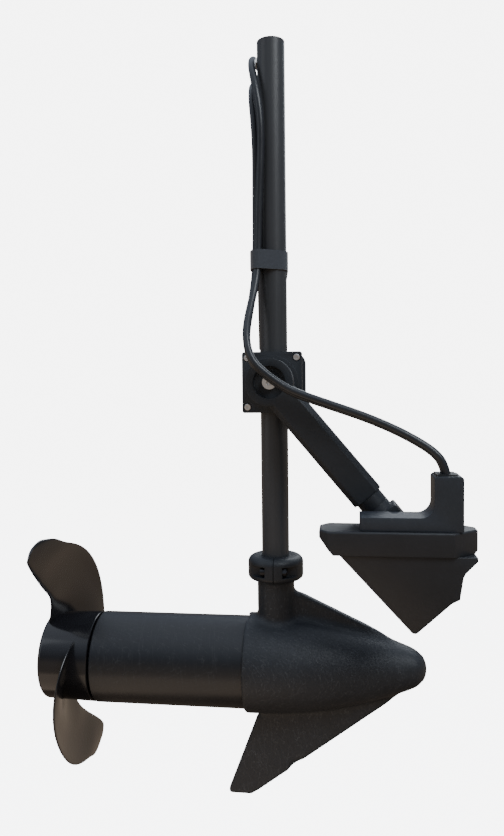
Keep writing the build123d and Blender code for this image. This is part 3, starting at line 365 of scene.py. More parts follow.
def jacket_finish(colours):
    """Satin rubber jacket that has picked up handling marks."""
    finish = Finish("lead_jacket", {"Specular IOR Level": 0.5})
    fine = finish.noise(380.0, 3.0, 0.6)
    cloud = finish.noise(35.0, 3.0, 0.6)
    finish.paint(finish.blend(cloud, shade(colours.lead_colour, 0.7), shade(colours.lead_colour, 1.4)))
    finish.gloss(0.24 + fine * 0.08 + cloud * 0.10)
    finish.raise_by(fine, 0.10, 0.0004)
    return finish.material


def band_finish(colours):
    """Woven band: crossed fine ribs and a nap."""
    finish = Finish("woven_band", {"Specular IOR Level": 0.25, "Sheen Weight": 0.3})
    across = finish.add("ShaderNodeTexWave", {"wave_type": "BANDS", "bands_direction": "Z"},
                        {"Vector": finish.place, "Scale": 260.0, "Distortion": 1.5, "Detail": 2.0})
    ribs = Value(finish, across.outputs["Fac"])
    nap = finish.noise(1400.0, 3.0, 0.7)
    cloud = finish.noise(60.0, 3.0, 0.6)
    finish.paint(finish.blend(ribs * 0.4 + nap * 0.35 + cloud * 0.25, shade(colours.tape_colour, 0.6),
                              shade(colours.tape_colour, 1.5)))
    finish.gloss(0.62 + nap * 0.2)
    finish.raise_by(ribs, 0.35, 0.0003)
    finish.raise_by(nap, 0.25, 0.0003)
    return finish.material


def metal_finish(name, colour, roughness, grain):
    """Bare metal, turned or drawn, with a slight tarnish."""
    finish = Finish(name, {"Metallic": 1.0})
    lines = finish.noise(1.0, 3.0, 0.6, finish.stretched(grain))
    tarnish = finish.noise(120.0, 3.0, 0.6)
    finish.paint(finish.blend(tarnish, shade(colour, 0.7), shade(colour, 1.1)))
    finish.gloss(roughness + lines * 0.15 + tarnish * 0.08)
    finish.raise_by(lines, 0.08, 0.0002)
    return finish.material


def plain_stock_finish(name, colour, roughness, grain_scale):
    """Unseen insides: an even stock with a grain of its own."""
    finish = Finish(name, {})
    grain = finish.noise(grain_scale, 3.0, 0.6)
    finish.paint(finish.blend(grain, shade(colour, 0.75), shade(colour, 1.25)))
    finish.gloss(roughness + grain * 0.12)
    finish.raise_by(grain, 0.12, 0.0004)
    return finish.material


def laminate_finish():
    """Circuit board: green lacquer over a glass weave."""
    finish = Finish("board_laminate", {"Specular IOR Level": 0.5})
    weave = finish.add("ShaderNodeTexChecker", {}, {"Vector": finish.place, "Scale": 900.0})
    cloud = finish.noise(80.0, 3.0)
    share = Value(finish, weave.outputs["Fac"]) * 0.3 + cloud * 0.5
    finish.paint(finish.blend(share, (0.008, 0.07, 0.03, 1), (0.02, 0.14, 0.06, 1)))
    finish.gloss(0.28 + cloud * 0.12)
    return finish.material


def copper_finish():
    """Lacquered copper wire laid side by side."""
    finish = Finish("winding_wire", {"Metallic": 1.0})
    wires = finish.add("ShaderNodeTexWave", {"wave_type": "BANDS", "bands_direction": "DIAGONAL"},
                       {"Vector": finish.place, "Scale": 380.0, "Distortion": 0.6, "Detail": 1.0})
    strand = Value(finish, wires.outputs["Fac"])
    finish.paint(finish.blend(strand, (0.30, 0.10, 0.035, 1), (0.72, 0.34, 0.16, 1)))
    finish.gloss(0.26 + strand * 0.12)
    finish.raise_by(strand, 0.5, 0.0004)
    return finish.material


# ================================================================== making pieces
def dress(names, material):
    """Give CAD nodes a material of their own."""
    for name in names:
        mesh = nodes[name].data
        mesh.materials.clear()
        mesh.materials.append(material)


def put_in_scene(name, data):
    """A new object, linked to the scene."""
    made = bpy.data.objects.new(name, data)
    bpy.context.scene.collection.objects.link(made)
    return made


def finished_mesh(holder):
    """The plain mesh that an object's curve or modifiers give. The object itself goes."""
    evaluated = holder.evaluated_get(bpy.context.evaluated_depsgraph_get())
    mesh = bpy.data.meshes.new_from_object(evaluated)
    bpy.data.objects.remove(holder)
    return mesh


def join_loops(shape, loops):
    """Faces between each closed loop of vertices and the next."""
    for loop, following in zip(loops, loops[1:]):
        for a in range(len(loop)):
            b = (a + 1) % len(loop)
            shape.faces.new((loop[a], loop[b], following[b], following[a]))


def new_piece(name, mesh, material, body, replaced):
    """Put a finished mesh on its body in place of the CAD nodes that it stands for."""
    piece = put_in_scene(name, mesh)
    mesh.materials.clear()
    mesh.materials.append(material)
    if body is not None:
        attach(piece, body)
    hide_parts(*replaced)
    return piece


def merged(node):
    """A copy of a CAD node's mesh with its corners joined and its flats whole."""
    shape = bmesh.new()
    shape.from_mesh(nodes[node].data)
    bmesh.ops.remove_doubles(shape, verts=shape.verts, dist=1e-6)
    bmesh.ops.dissolve_limit(shape, angle_limit=math.radians(0.5), verts=shape.verts, edges=shape.edges)
    return shape


def to_mesh(shape, name, sharp_angle):
    """A smooth-shaded mesh from a bmesh, with creases where it turns more than sharp_angle."""
    mesh = bpy.data.meshes.new(name)
    shape.to_mesh(mesh)
    shape.free()
    mesh.shade_smooth()
    mesh.set_sharp_from_angle(angle=math.radians(sharp_angle))
    return mesh


def rounded_copy(node, width, body, material):
    """A CAD node's shape again, with its sharp edges broken as a moulding's are."""
    shape = merged(node)
    sharp = [e for e in shape.edges if e.is_manifold and e.calc_face_angle() > math.radians(24)]
    bmesh.ops.bevel(shape, geom=sharp, offset=width, offset_type="OFFSET", segments=2, profile=0.6,
                    affect="EDGES", clamp_overlap=False)
    bmesh.ops.triangulate(shape, faces=[f for f in shape.faces if len(f.verts) > 4])
    return new_piece(node + "_moulding", to_mesh(shape, node + "_moulding", 32), material, body, [node])


def lathe(points, segments=128):
    """A closed outline of (x, radius) points turned round the motor's axis."""
    shape = bmesh.new()
    rings = []
    for step in range(segments):
        turn = 2 * math.pi * step / segments
        rings.append([shape.verts.new((x, r * math.sin(turn), axis_z + r * math.cos(turn)))
                      for x, r in points])
    join_loops(shape, rings + rings[:1])
    bmesh.ops.recalc_face_normals(shape, faces=shape.faces)
    return shape


# ================================================================== casing
nose_radius = 0.051
ogive_start = -0.025
ogive_radius = 0.470
neck_radius = 0.0194
fin_half = 0.005
skeg_half = 0.004


def body_radius(x):
    """The nose casing's outer radius at x, for an array of x."""
    over = np.clip(x - ogive_start, 0, ogive_radius * 0.9)
    return nose_radius - ogive_radius + np.sqrt(ogive_radius**2 - over**2)


def fillet_shares(points, reach):
    """How strongly each vertex is smoothed: most along the inside corners and the blades' rims."""
    x, y, z = points[:, 0], points[:, 1], points[:, 2] - axis_z
    body = np.abs(np.hypot(y, z) - body_radius(x))
    neck = np.abs(np.hypot(x, y) - neck_radius)
    blade = np.where(z > 0, np.abs(np.abs(y) - fin_half), np.abs(np.abs(y) - skeg_half))
    outside = np.hypot(y, z) > body_radius(x) - 0.004

    def near(distance):
        return np.clip(1 - distance / reach, 0, 1)

    corner = np.maximum(near(body) * near(blade), near(neck) * near(blade) * (x > 0.012))
    corner = np.maximum(corner, near(body) * near(neck) * (z > 0))
    rim = 0.12 * (np.hypot(y, z) > body_radius(x) + 0.003) * (np.hypot(x, y) > neck_radius + 0.003)
    below_collar = z < 0.080
    return np.clip(np.maximum(corner * 1.6, rim), 0, 1) * outside * below_collar


class TROLLING_OT_casing(bpy.types.Operator):
    """Model the nose casing as one moulding, with fillets where neck, fin and skeg meet it"""

    bl_idname = "trolling.casing"
    bl_label = "Nose casing"

    def execute(self, context):
        shapes = context.scene.trolling_shapes
        mesh = to_mesh(merged("nose_casing"), "nose_moulding", 180)
        cast = put_in_scene("nose_moulding", mesh)
        remesh = cast.modifiers.new("skin", "REMESH")
        remesh.mode = "VOXEL"
        remesh.voxel_size = shapes.casing_grain
        skin = finished_mesh(cast)
        points = np.empty(len(skin.vertices) * 3)
        skin.vertices.foreach_get("co", points)
        points = points.reshape(-1, 3)
        pairs = np.empty(len(skin.edges) * 2, int)
        skin.edges.foreach_get("vertices", pairs)
        first, second = pairs.reshape(-1, 2).T
        count = np.bincount(first, minlength=len(points)) + np.bincount(second, minlength=len(points))
        shares = fillet_shares(points, shapes.casing_fillet)[:, None]
        for _ in range(30):
            total = np.zeros_like(points)
            np.add.at(total, first, points[second])
            np.add.at(total, second, points[first])
            points += shares * (total / count[:, None] - points) * 0.9
        skin.vertices.foreach_set("co", points.ravel())
        skin.update()
        skin.shade_smooth()
        new_piece("nose_moulding", skin, casing_finish(context.scene.trolling_finishes), "lower_unit",
                  ["nose_casing"])
        return {"FINISHED"}


# ================================================================== propeller
blade_stations = [
    # radius, leading and trailing edge angles in degrees from the top towards -Y, and their x
    (0.0446, -132.0, 26.0, -0.2085, -0.2440),
    (0.0640, -99.0, 26.0, -0.2130, -0.2380),
    (0.0820, -69.0, 27.0, -0.2165, -0.2346),
    (0.1050, -27.0, 32.0, -0.2170, -0.2340),
    (0.1300, 8.0, 36.0, -0.2195, -0.2318),
    (0.1500, 20.5, 38.0, -0.2230, -0.2296),
    (0.1650, 29.5, 38.5, -0.2280, -0.2286),
]
blade_rows = 40
blade_columns = 28
tip_start = 0.1605


def blade_section(radius):
    """The leading and trailing edges' angles and places at a radius, smooth between the stations."""
    known = np.array(blade_stations)
    steps = np.diff(known[:, 1:], axis=0) / np.diff(known[:, 0])[:, None]
    slopes = np.vstack([steps[:1], (steps[1:] + steps[:-1]) / 2, steps[-1:]])
    slopes[1:-1][steps[1:] * steps[:-1] <= 0] = 0
    at = int(np.clip(np.searchsorted(known[:, 0], radius) - 1, 0, len(known) - 2))
    span = known[at + 1, 0] - known[at, 0]
    t = (radius - known[at, 0]) / span
    return ((2 * t**3 - 3 * t**2 + 1) * known[at, 1:] + (t**3 - 2 * t**2 + t) * span * slopes[at]
            + (3 * t**2 - 2 * t**3) * known[at + 1, 1:] + (t**3 - t**2) * span * slopes[at + 1])


def add_blade(shape, turned, shapes):
    """One blade: lens-shaped sections from inside the hub out to a rounded tip."""
    root, tip = blade_stations[0][0] - 0.001, blade_stations[-1][0]
    loops = []
    for row in range(blade_rows):
        share = row / (blade_rows - 1)
        radius = root + (tip - root) * (1 - (1 - share)**1.5)
        lead, trail, lead_x, trail_x = blade_section(max(radius, blade_stations[0][0]))
        close = math.sqrt(max(1 - max((radius - tip_start) / (tip - tip_start), 0)**2, 0.0004))
        thinning = (shapes.blade_root_thickness - shapes.blade_tip_thickness) * share**0.7
        thickness = shapes.blade_root_thickness - thinning
        middle, half = (lead + trail) / 2, (trail - lead) / 2 * close
        middle_x, half_x = (lead_x + trail_x) / 2, (trail_x - lead_x) / 2 * close
        chord = math.hypot(math.radians(2 * half) * radius, 2 * half_x)
        thickness = min(thickness, 0.45 * chord)
        # the section's faces look away from the axis's direction by its pitch
        pitch = math.atan2(2 * half_x, math.radians(2 * half) * radius)
        faces = []
        for side in (1, -1):
            for column in range(blade_columns):
                along = math.cos(math.pi * column / blade_columns) * side
                angle = math.radians(turned + middle + half * along)
                x = middle_x + half_x * along
                swell = side * thickness / 2 * math.sin(math.pi * column / blade_columns)**0.8
                x += swell * math.cos(pitch)
                angle -= swell * math.sin(pitch) / radius
                faces.append(shape.verts.new((x, -radius * math.sin(angle),
                                              axis_z + radius * math.cos(angle))))
        loops.append(faces)
    join_loops(shape, loops)
    shape.faces.new(loops[0])
    shape.faces.new(loops[-1])


class TROLLING_OT_propeller(bpy.types.Operator):
    """Model the hub and its two blades"""

    bl_idname = "trolling.propeller"
    bl_label = "Propeller"

    def execute(self, context):
        hub_front = bell_rear - 0.0021
        outer, rear_outer = 0.0470, 0.0456
        recess, bore, boss = 0.0170, 0.0060, 0.0130
        floor = hub_rear + 0.0124
        rim = [(hub_rear + 0.0045 * (1 - math.sin(turn)), rear_outer - 0.0045 * (1 - math.cos(turn)))
               for turn in np.linspace(0, math.pi / 2, 7)]
        outline = [(hub_front, outer - 0.004), (hub_front, outer - 0.0006), (hub_front - 0.0006, outer), *rim,
                   (hub_rear, recess + 0.0012), (hub_rear + 0.0012, recess), (floor, recess), (floor, bore),
                   (hub_front - 0.002, bore), (hub_front - 0.002, boss), (floor + 0.008, boss),
                   (floor + 0.008, recess + 0.004), (hub_rear + 0.007, recess + 0.004),
                   (hub_rear + 0.007, rear_outer - 0.004)]
        shape = lathe(outline)
        blades = bmesh.new()
        for turned in (0, 180):
            add_blade(blades, turned, context.scene.trolling_shapes)
        bmesh.ops.recalc_face_normals(blades, faces=blades.faces)
        loose = to_mesh(blades, "blades", 60)
        shape.from_mesh(loose)
        bpy.data.meshes.remove(loose)
        new_piece("polished_propeller", to_mesh(shape, "polished_propeller", 35),
                  blade_finish(context.scene.trolling_finishes), "rotor", ["propeller"])
        return {"FINISHED"}


# ================================================================== leads
front_lead_arm = [
    (0.1630, -0.0850, 0.2124), (0.1609, -0.0847, 0.2218), (0.1542, -0.0840, 0.2308),
    (0.1423, -0.0826, 0.2396), (0.1205, -0.0800, 0.2518), (0.0920, -0.0768, 0.2642),
    (0.0640, -0.0738, 0.2740), (0.0380, -0.0714, 0.2830), (0.0170, -0.0698, 0.2914)]
front_lead_shaft = [
    (-0.0100, -0.0684, 0.3118), (-0.0176, -0.0660, 0.3255), (-0.0208, -0.0592, 0.3415),
    (-0.0208, -0.0490, 0.3565), (-0.0188, -0.0380, 0.3725), (-0.0160, -0.0276, 0.3900),
    (-0.0137, -0.0200, 0.4100), (-0.0130, -0.0177, 0.4400), (-0.0116, -0.0180, 0.4850),
    (-0.0090, -0.0186, 0.5320), (-0.0095, -0.0196, 0.5670), (-0.0150, -0.0165, 0.5970),
    (-0.0200, -0.0040, 0.6215), (-0.0205, 0.0185, 0.6370), (-0.0160, 0.0445, 0.6375),
    (-0.0105, 0.0680, 0.6230), (-0.0060, 0.0805, 0.5980), (-0.0030, 0.0795, 0.5680),
    (-0.0015, 0.0660, 0.5410), (-0.0005, 0.0470, 0.5180), (0.0004, 0.0310, 0.4950)]
rear_lead_arm = [
    (0.1630, -0.0735, 0.2124), (0.1606, -0.0733, 0.2216), (0.1536, -0.0728, 0.2302),
    (0.1416, -0.0718, 0.2386), (0.1200, -0.0696, 0.2504), (0.0920, -0.0668, 0.2624),
    (0.0640, -0.0642, 0.2720), (0.0380, -0.0622, 0.2808), (0.0165, -0.0609, 0.2894)]
rear_lead_shaft = [
    (-0.0106, -0.0602, 0.3098), (-0.0180, -0.0574, 0.3224), (-0.0218, -0.0496, 0.3365),
    (-0.0226, -0.0380, 0.3495), (-0.0216, -0.0270, 0.3645), (-0.0192, -0.0186, 0.3840),
    (-0.0168, -0.0124, 0.4070), (-0.0159, -0.0103, 0.4380), (-0.0157, -0.0103, 0.4850),
    (-0.0150, -0.0120, 0.5310), (-0.0164, -0.0124, 0.5600), (-0.0192, -0.0070, 0.5860),
    (-0.0206, 0.0105, 0.6060), (-0.0186, 0.0345, 0.6136), (-0.0154, 0.0580, 0.6052),
    (-0.0126, 0.0720, 0.5840), (-0.0108, 0.0715, 0.5580), (-0.0094, 0.0595, 0.5350),
    (-0.0083, 0.0435, 0.5150), (-0.0075, 0.0295, 0.4950)]
coil_slope = Vector((-0.0985, 1.0, 0.0)).normalized()
coil_side = Vector((1.0, 0.0985, 0.0)).normalized()
coil_middle = Vector((-0.0985 * 0.104 - 0.0013, 0.104, -0.222))
coil_outer = 0.084
coil_pitch = 0.0075
coil_gap = 0.0004
coil_steps = 16
tail_points = [(0.0105, 0.0363), (-0.0020, 0.0352), (-0.0135, 0.0308), (-0.0225, 0.0220), (-0.0268, 0.0100),
               (-0.0250, -0.0025), (-0.0185, -0.0120), (-0.0110, -0.0166), (-0.0050, -0.0170)]


def on_coil(across, along, up):
    """A point by its distances from the coils' centre: to their side, away from the shaft, and up."""
    return coil_middle + coil_side * across + coil_slope * along + Vector((0, 0, up))


def coil_points(side, turns):
    """The coil's turns: two lanes wide, layer within layer, wound from the outside into its eye."""
    def cell(turn):
        layer = turn // 2
        lane = (0, 1, 1, 0)[turn % 4]
        return layer, lane

    points = []
    for step in range(int(turns * coil_steps - coil_steps / 3)):
        turn, part = divmod(step + 0.5, coil_steps)
        share = min(max((part / coil_steps - 0.75) / 0.25, 0), 1)
        share = share * share * (3 - 2 * share)
        here, following = cell(int(turn)), cell(int(turn) + 1)
        layer = here[0] + (following[0] - here[0]) * share
        lane = here[1] + (following[1] - here[1]) * share
        radius = (coil_outer - coil_pitch * layer) / math.cos(math.pi / coil_steps)
        across = side * (coil_gap / 2 + coil_pitch * (lane + 0.5))
        angle = 2 * math.pi * part / coil_steps
        points.append(on_coil(across, -radius * math.cos(angle), -radius * math.sin(angle)))
    return points


def lead_route(arm_side, shaft_side, side, feed_heights, turns):
    """Every control point of one lead, from its gland to its connector."""
    lane = side * (coil_gap + coil_pitch) / 2
    last_lane = side * (coil_gap / 2 + coil_pitch * ((0, 1, 1, 0)[(turns - 1) % 4] + 0.5))
    final_lane = side * (coil_gap / 2 + coil_pitch)
    route = [Vector((x, y, axis_z + z)) for x, y, z in arm_side + shaft_side]
    route += [on_coil(lane, -coil_outer, axis_z + z - coil_middle.z) for z in feed_heights]
    route += coil_points(side, turns)
    for step, (along, up) in enumerate(tail_points):
        share = step / (len(tail_points) - 1)
        route.append(on_coil(last_lane + (final_lane - last_lane) * share, along, up))
    return route


def smooth_line(name, route):
    """Points along the smooth curve that a route's points control."""
    curve = bpy.data.curves.new(name, "CURVE")
    curve.dimensions = "3D"
    curve.resolution_u = 8
    spline = curve.splines.new("NURBS")
    spline.points.add(len(route) - 1)
    for point, place in zip(spline.points, route):
        point.co = (*place, 1.0)
    spline.order_u = 3
    spline.use_endpoint_u = True
    line = finished_mesh(put_in_scene(name, curve))
    points = [v.co.copy() for v in line.vertices]
    bpy.data.meshes.remove(line)
    return points


def tube_along(points, radius, sides=14):
    """A round tube, closed at both ends, with u along it and v round it."""
    shape = bmesh.new()
    across = (points[1] - points[0]).orthogonal().normalized()
    rings = []
    for index, point in enumerate(points):
        before, after = points[max(index - 1, 0)], points[min(index + 1, len(points) - 1)]
        along = (after - before).normalized()
        across = (across - along * across.dot(along)).normalized()
        upward = along.cross(across)
        rings.append([shape.verts.new(point + (across * math.cos(2 * math.pi * k / sides)
                                               + upward * math.sin(2 * math.pi * k / sides)) * radius)
                      for k in range(sides)])
    join_loops(shape, rings)
    shape.faces.new(rings[0][::-1])
    shape.faces.new(rings[-1])
    return shape


class TROLLING_OT_leads(bpy.types.Operator):
    """Run both sonar leads over the arm's pivot, up the shaft and into their coils"""

    bl_idname = "trolling.leads"
    bl_label = "Sonar leads"

    def execute(self, context):
        shapes = context.scene.trolling_shapes
        jacket = jacket_finish(context.scene.trolling_finishes)
        leads = (("front", front_lead_arm, front_lead_shaft, 1, (0.470, 0.449)),
                 ("rear", rear_lead_arm, rear_lead_shaft, -1, (0.472, 0.449)))
        for name, arm_side, shaft_side, side, feed in leads:
            route = lead_route(arm_side, shaft_side, side, feed, shapes.coil_turns)
            line = smooth_line(name + "_line", route)
            mesh = to_mesh(tube_along(line, shapes.lead_diameter / 2), name + "_sonar_lead", 60)
            solids = [f"lead_{name}_{part}" for part in ("arm_side", "shaft_side", "coil")]
            lead = new_piece(name + "_sonar_lead", mesh, jacket, None, solids)
            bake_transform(lead)
        return {"FINISHED"}


# ================================================================== clamp screws
def screw_shape(radius, length):
    """A cap screw: a knurled head with a hex socket, and a plain shank, along +Y from its head."""
    shape = bmesh.new()
    sides = 36
    rows = [(-0.0006, radius * 0.86), (-0.0002, radius * 0.97), (0.0004, radius), (0.0030, radius),
            (0.0030, radius * 0.57), (length, radius * 0.57)]
    rings = []
    for along, wide in rows:
        knurl = [wide * (1 + 0.025 * (k % 2) * (wide == radius)) for k in range(sides)]
        rings.append([shape.verts.new((knurl[k] * math.cos(2 * math.pi * k / sides), along,
                                       knurl[k] * math.sin(2 * math.pi * k / sides))) for k in range(sides)])
    socket_radius = radius * 0.5
    mouth = [shape.verts.new((socket_radius * math.cos(2 * math.pi * (k - k % 6) / sides), -0.0006,
                              socket_radius * math.sin(2 * math.pi * (k - k % 6) / sides)))
             for k in range(0, sides, 6)]
    floor = [shape.verts.new((v.co.x, 0.0012, v.co.z)) for v in mouth]
    join_loops(shape, [mouth, floor])
    join_loops(shape, rings)
    shape.faces.new(rings[-1])
    shape.faces.new(floor)
    for a in range(6):
        outer = [rings[0][(6 * a + k) % sides] for k in range(7)]
        shape.faces.new([mouth[a]] + outer + [mouth[(a + 1) % 6]])
    bmesh.ops.recalc_face_normals(shape, faces=shape.faces)
    return shape


class TROLLING_OT_clamp_screws(bpy.types.Operator):
    """Set the four clamp screws at the corners of the clamp's plate"""

    bl_idname = "trolling.clamp_screws"
    bl_label = "Clamp screws"

    def execute(self, context):
        shapes = context.scene.trolling_shapes
        low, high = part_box("clamp_screws")
        spacing = high.x - low.x - 2 * shapes.screw_head
        steel = metal_finish("stainless_screws", context.scene.trolling_finishes.steel_colour, 0.22,
                             (300, 40, 300))
        screw_mesh = to_mesh(screw_shape(shapes.screw_head, high.y - low.y - 0.0006), "screw", 30)
        pattern = put_in_scene("screw_pattern", screw_mesh)
        tree = bpy.data.node_groups.new("screw_square", "GeometryNodeTree")
        face = tree.interface
        face.new_socket("Geometry", in_out="INPUT", socket_type="NodeSocketGeometry")
        spacing_input = face.new_socket("Spacing", in_out="INPUT", socket_type="NodeSocketFloat")
        screw_input = face.new_socket("Screw", in_out="INPUT", socket_type="NodeSocketObject")
        middle_input = face.new_socket("Middle", in_out="INPUT", socket_type="NodeSocketVector")
        face.new_socket("Geometry", in_out="OUTPUT", socket_type="NodeSocketGeometry")
        inputs = tree.nodes.new("NodeGroupInput")
        outputs = tree.nodes.new("NodeGroupOutput")
        grid = tree.nodes.new("GeometryNodeMeshGrid")
        grid.inputs["Vertices X"].default_value = 2
        grid.inputs["Vertices Y"].default_value = 2
        stand = tree.nodes.new("GeometryNodeTransform")
        stand.inputs["Rotation"].default_value = (math.pi / 2, 0, 0)
        source = tree.nodes.new("GeometryNodeObjectInfo")
        place = tree.nodes.new("GeometryNodeInstanceOnPoints")
        realise = tree.nodes.new("GeometryNodeRealizeInstances")
        finish = tree.nodes.new("GeometryNodeSetMaterial")
        finish.inputs["Material"].default_value = steel
        links = tree.links
        links.new(inputs.outputs["Spacing"], grid.inputs["Size X"])
        links.new(inputs.outputs["Spacing"], grid.inputs["Size Y"])
        links.new(grid.outputs["Mesh"], stand.inputs["Geometry"])
        links.new(inputs.outputs["Middle"], stand.inputs["Translation"])
        links.new(inputs.outputs["Screw"], source.inputs["Object"])
        links.new(stand.outputs["Geometry"], place.inputs["Points"])
        links.new(source.outputs["Geometry"], place.inputs["Instance"])
        links.new(place.outputs["Instances"], realise.inputs["Geometry"])
        links.new(realise.outputs["Geometry"], finish.inputs["Geometry"])
        links.new(finish.outputs["Geometry"], outputs.inputs["Geometry"])
        holder = put_in_scene("screw_holder", bpy.data.meshes.new("screw_holder"))
        modifier = holder.modifiers.new("screws", "NODES")
        modifier.node_group = tree
        modifier[spacing_input.identifier] = spacing
        modifier[screw_input.identifier] = pattern
        modifier[middle_input.identifier] = (0.0, low.y + 0.0006, (low.z + high.z) / 2)
        made = finished_mesh(holder)
        bpy.data.objects.remove(pattern)
        new_piece("cap_screws", made, steel, "lower_unit", ["clamp_screws"])
        return {"FINISHED"}


# ================================================================== finishes on the CAD's pieces
class TROLLING_OT_shaft_and_clamp(bpy.types.Operator):
    """Finish the shaft, its collar and the transducer clamp"""

    bl_idname = "trolling.shaft_and_clamp"
    bl_label = "Shaft and clamp"

    def execute(self, context):
        colours = context.scene.trolling_finishes
        edge = context.scene.trolling_shapes.edge
        dress(["shaft_tube"], shaft_finish(colours))
        collar = moulded_finish("collar_plastic", colours.casing_colour, 0.0010, 0.40)
        for node in ("collar_left", "collar_right"):
            rounded_copy(node, edge / 2, "lower_unit", collar)
        plate = moulded_finish("clamp_plastic", colours.arm_colour, 0.0009, 0.42)
        for node in ("clamp_front", "clamp_rear"):
            rounded_copy(node, edge / 2, "lower_unit", plate)
        dress(["lead_strap", "coil_ties"], band_finish(colours))
        dress(["friction_washer"], moulded_finish("washer_plastic", colours.arm_colour, 0.0012, 0.5))
        return {"FINISHED"}


class TROLLING_OT_motor(bpy.types.Operator):
    """Finish the motor's can and rear end bell"""

    bl_idname = "trolling.motor"
    bl_label = "Motor can"

    def execute(self, context):
        dress(["motor_can", "rear_end_bell"], can_finish(context.scene.trolling_finishes))
        return {"FINISHED"}


class TROLLING_OT_arm(bpy.types.Operator):
    """Finish the swinging arm and its knuckle"""

    bl_idname = "trolling.arm"
    bl_label = "Transducer arm"

    def execute(self, context):
        colours = context.scene.trolling_finishes
        edge = context.scene.trolling_shapes.edge
        layered = layered_finish("layered_arm", colours.arm_colour, 0.0006, math.radians(-50))
        for node in ("mount_arm", "arm_knuckle"):
            rounded_copy(node, edge, "sonar_arm", layered)
        dress(["arm_neck"], moulded_finish("neck_plastic", colours.casing_colour, 0.0010, 0.36))
        return {"FINISHED"}


class TROLLING_OT_transducer(bpy.types.Operator):
    """Finish the transducer, its bracket and the gland"""

    bl_idname = "trolling.transducer"
    bl_label = "Transducer"

    def execute(self, context):
        colours = context.scene.trolling_finishes
        edge = context.scene.trolling_shapes.edge
        rounded_copy("transducer_bracket", edge, "sonar_arm",
                     moulded_finish("bracket_plastic", colours.bracket_colour, 0.0009, 0.40))
        crease_across, crease_from = Vector((0.394, 0.0, 0.919)), Vector((0.0809, 0.0, axis_z + 0.1330))
        crease = (crease_across, crease_across.dot(crease_from))
        rounded_copy("transducer_body", edge, "sonar_arm",
                     moulded_finish("sonar_plastic", colours.sonar_colour, 0.0008, 0.36))
        rounded_copy("transducer_shell", edge, "sonar_arm",
                     moulded_finish("shell_plastic", colours.sonar_colour, 0.0008, 0.36, crease))
        dress(["lead_gland"], plain_stock_finish("gland_rubber", (0.012, 0.013, 0.015), 0.55, 500.0))
        dress(["lead_front_connector", "lead_rear_connector", "power_plug"],
              moulded_finish("connector_plastic", colours.casing_colour, 0.0007, 0.3))
        return {"FINISHED"}


class TROLLING_OT_insides(bpy.types.Operator):
    """Finish the hardware and everything inside the motor and the transducer"""

    bl_idname = "trolling.insides"
    bl_label = "Hardware and insides"

    def execute(self, context):
        steel = context.scene.trolling_finishes.steel_colour
        dress(["collar_screws"], metal_finish("blackened_steel", (0.05, 0.05, 0.055), 0.35, (300, 300, 60)))
        dress(["clamp_nuts", "bracket_screws", "through_bolts", "pivot_bolt", "prop_nut",
               "prop_washer", "brush_springs"], metal_finish("stainless", steel, 0.24, (300, 300, 60)))
        dress(["drive_shaft", "drive_pin", "front_bearing", "rear_bearing"],
              metal_finish("ground_steel", steel, 0.18, (60, 500, 500)))
        dress(["front_end_plate"], metal_finish("cast_aluminium", (0.60, 0.61, 0.63), 0.40, (200, 200, 200)))
        dress(["armature_windings", "commutator", "brush_holders"], copper_finish())
        dress(["armature_core", "field_magnets"],
              plain_stock_finish("ground_iron", (0.11, 0.11, 0.12), 0.42, 300.0))
        dress(["carbon_brushes"], plain_stock_finish("brush_carbon", (0.02, 0.02, 0.022), 0.6, 900.0))
        dress(["control_board", "transducer_board"], laminate_finish())
        dress(["sonar_array"], plain_stock_finish("piezo_ceramic", (0.68, 0.66, 0.60), 0.5, 500.0))
        dress(["case_seal_rings", "shaft_seal", "clamp_liner", "power_cable"],
              plain_stock_finish("seal_rubber", (0.014, 0.014, 0.015), 0.55, 600.0))
        return {"FINISHED"}


# ================================================================== stage
def soft_light(name, place, aim, size, power, colour):
    """A soft rectangular light that faces a point."""
    light = bpy.data.lights.new(name, "AREA")
    light.shape = "RECTANGLE"
    light.size, light.size_y = size
    light.energy = power
    light.color = colour
    lamp = put_in_scene(name, light)
    lamp.location = place
    lamp.rotation_euler = (Vector(aim) - Vector(place)).to_track_quat("-Z", "Y").to_euler()


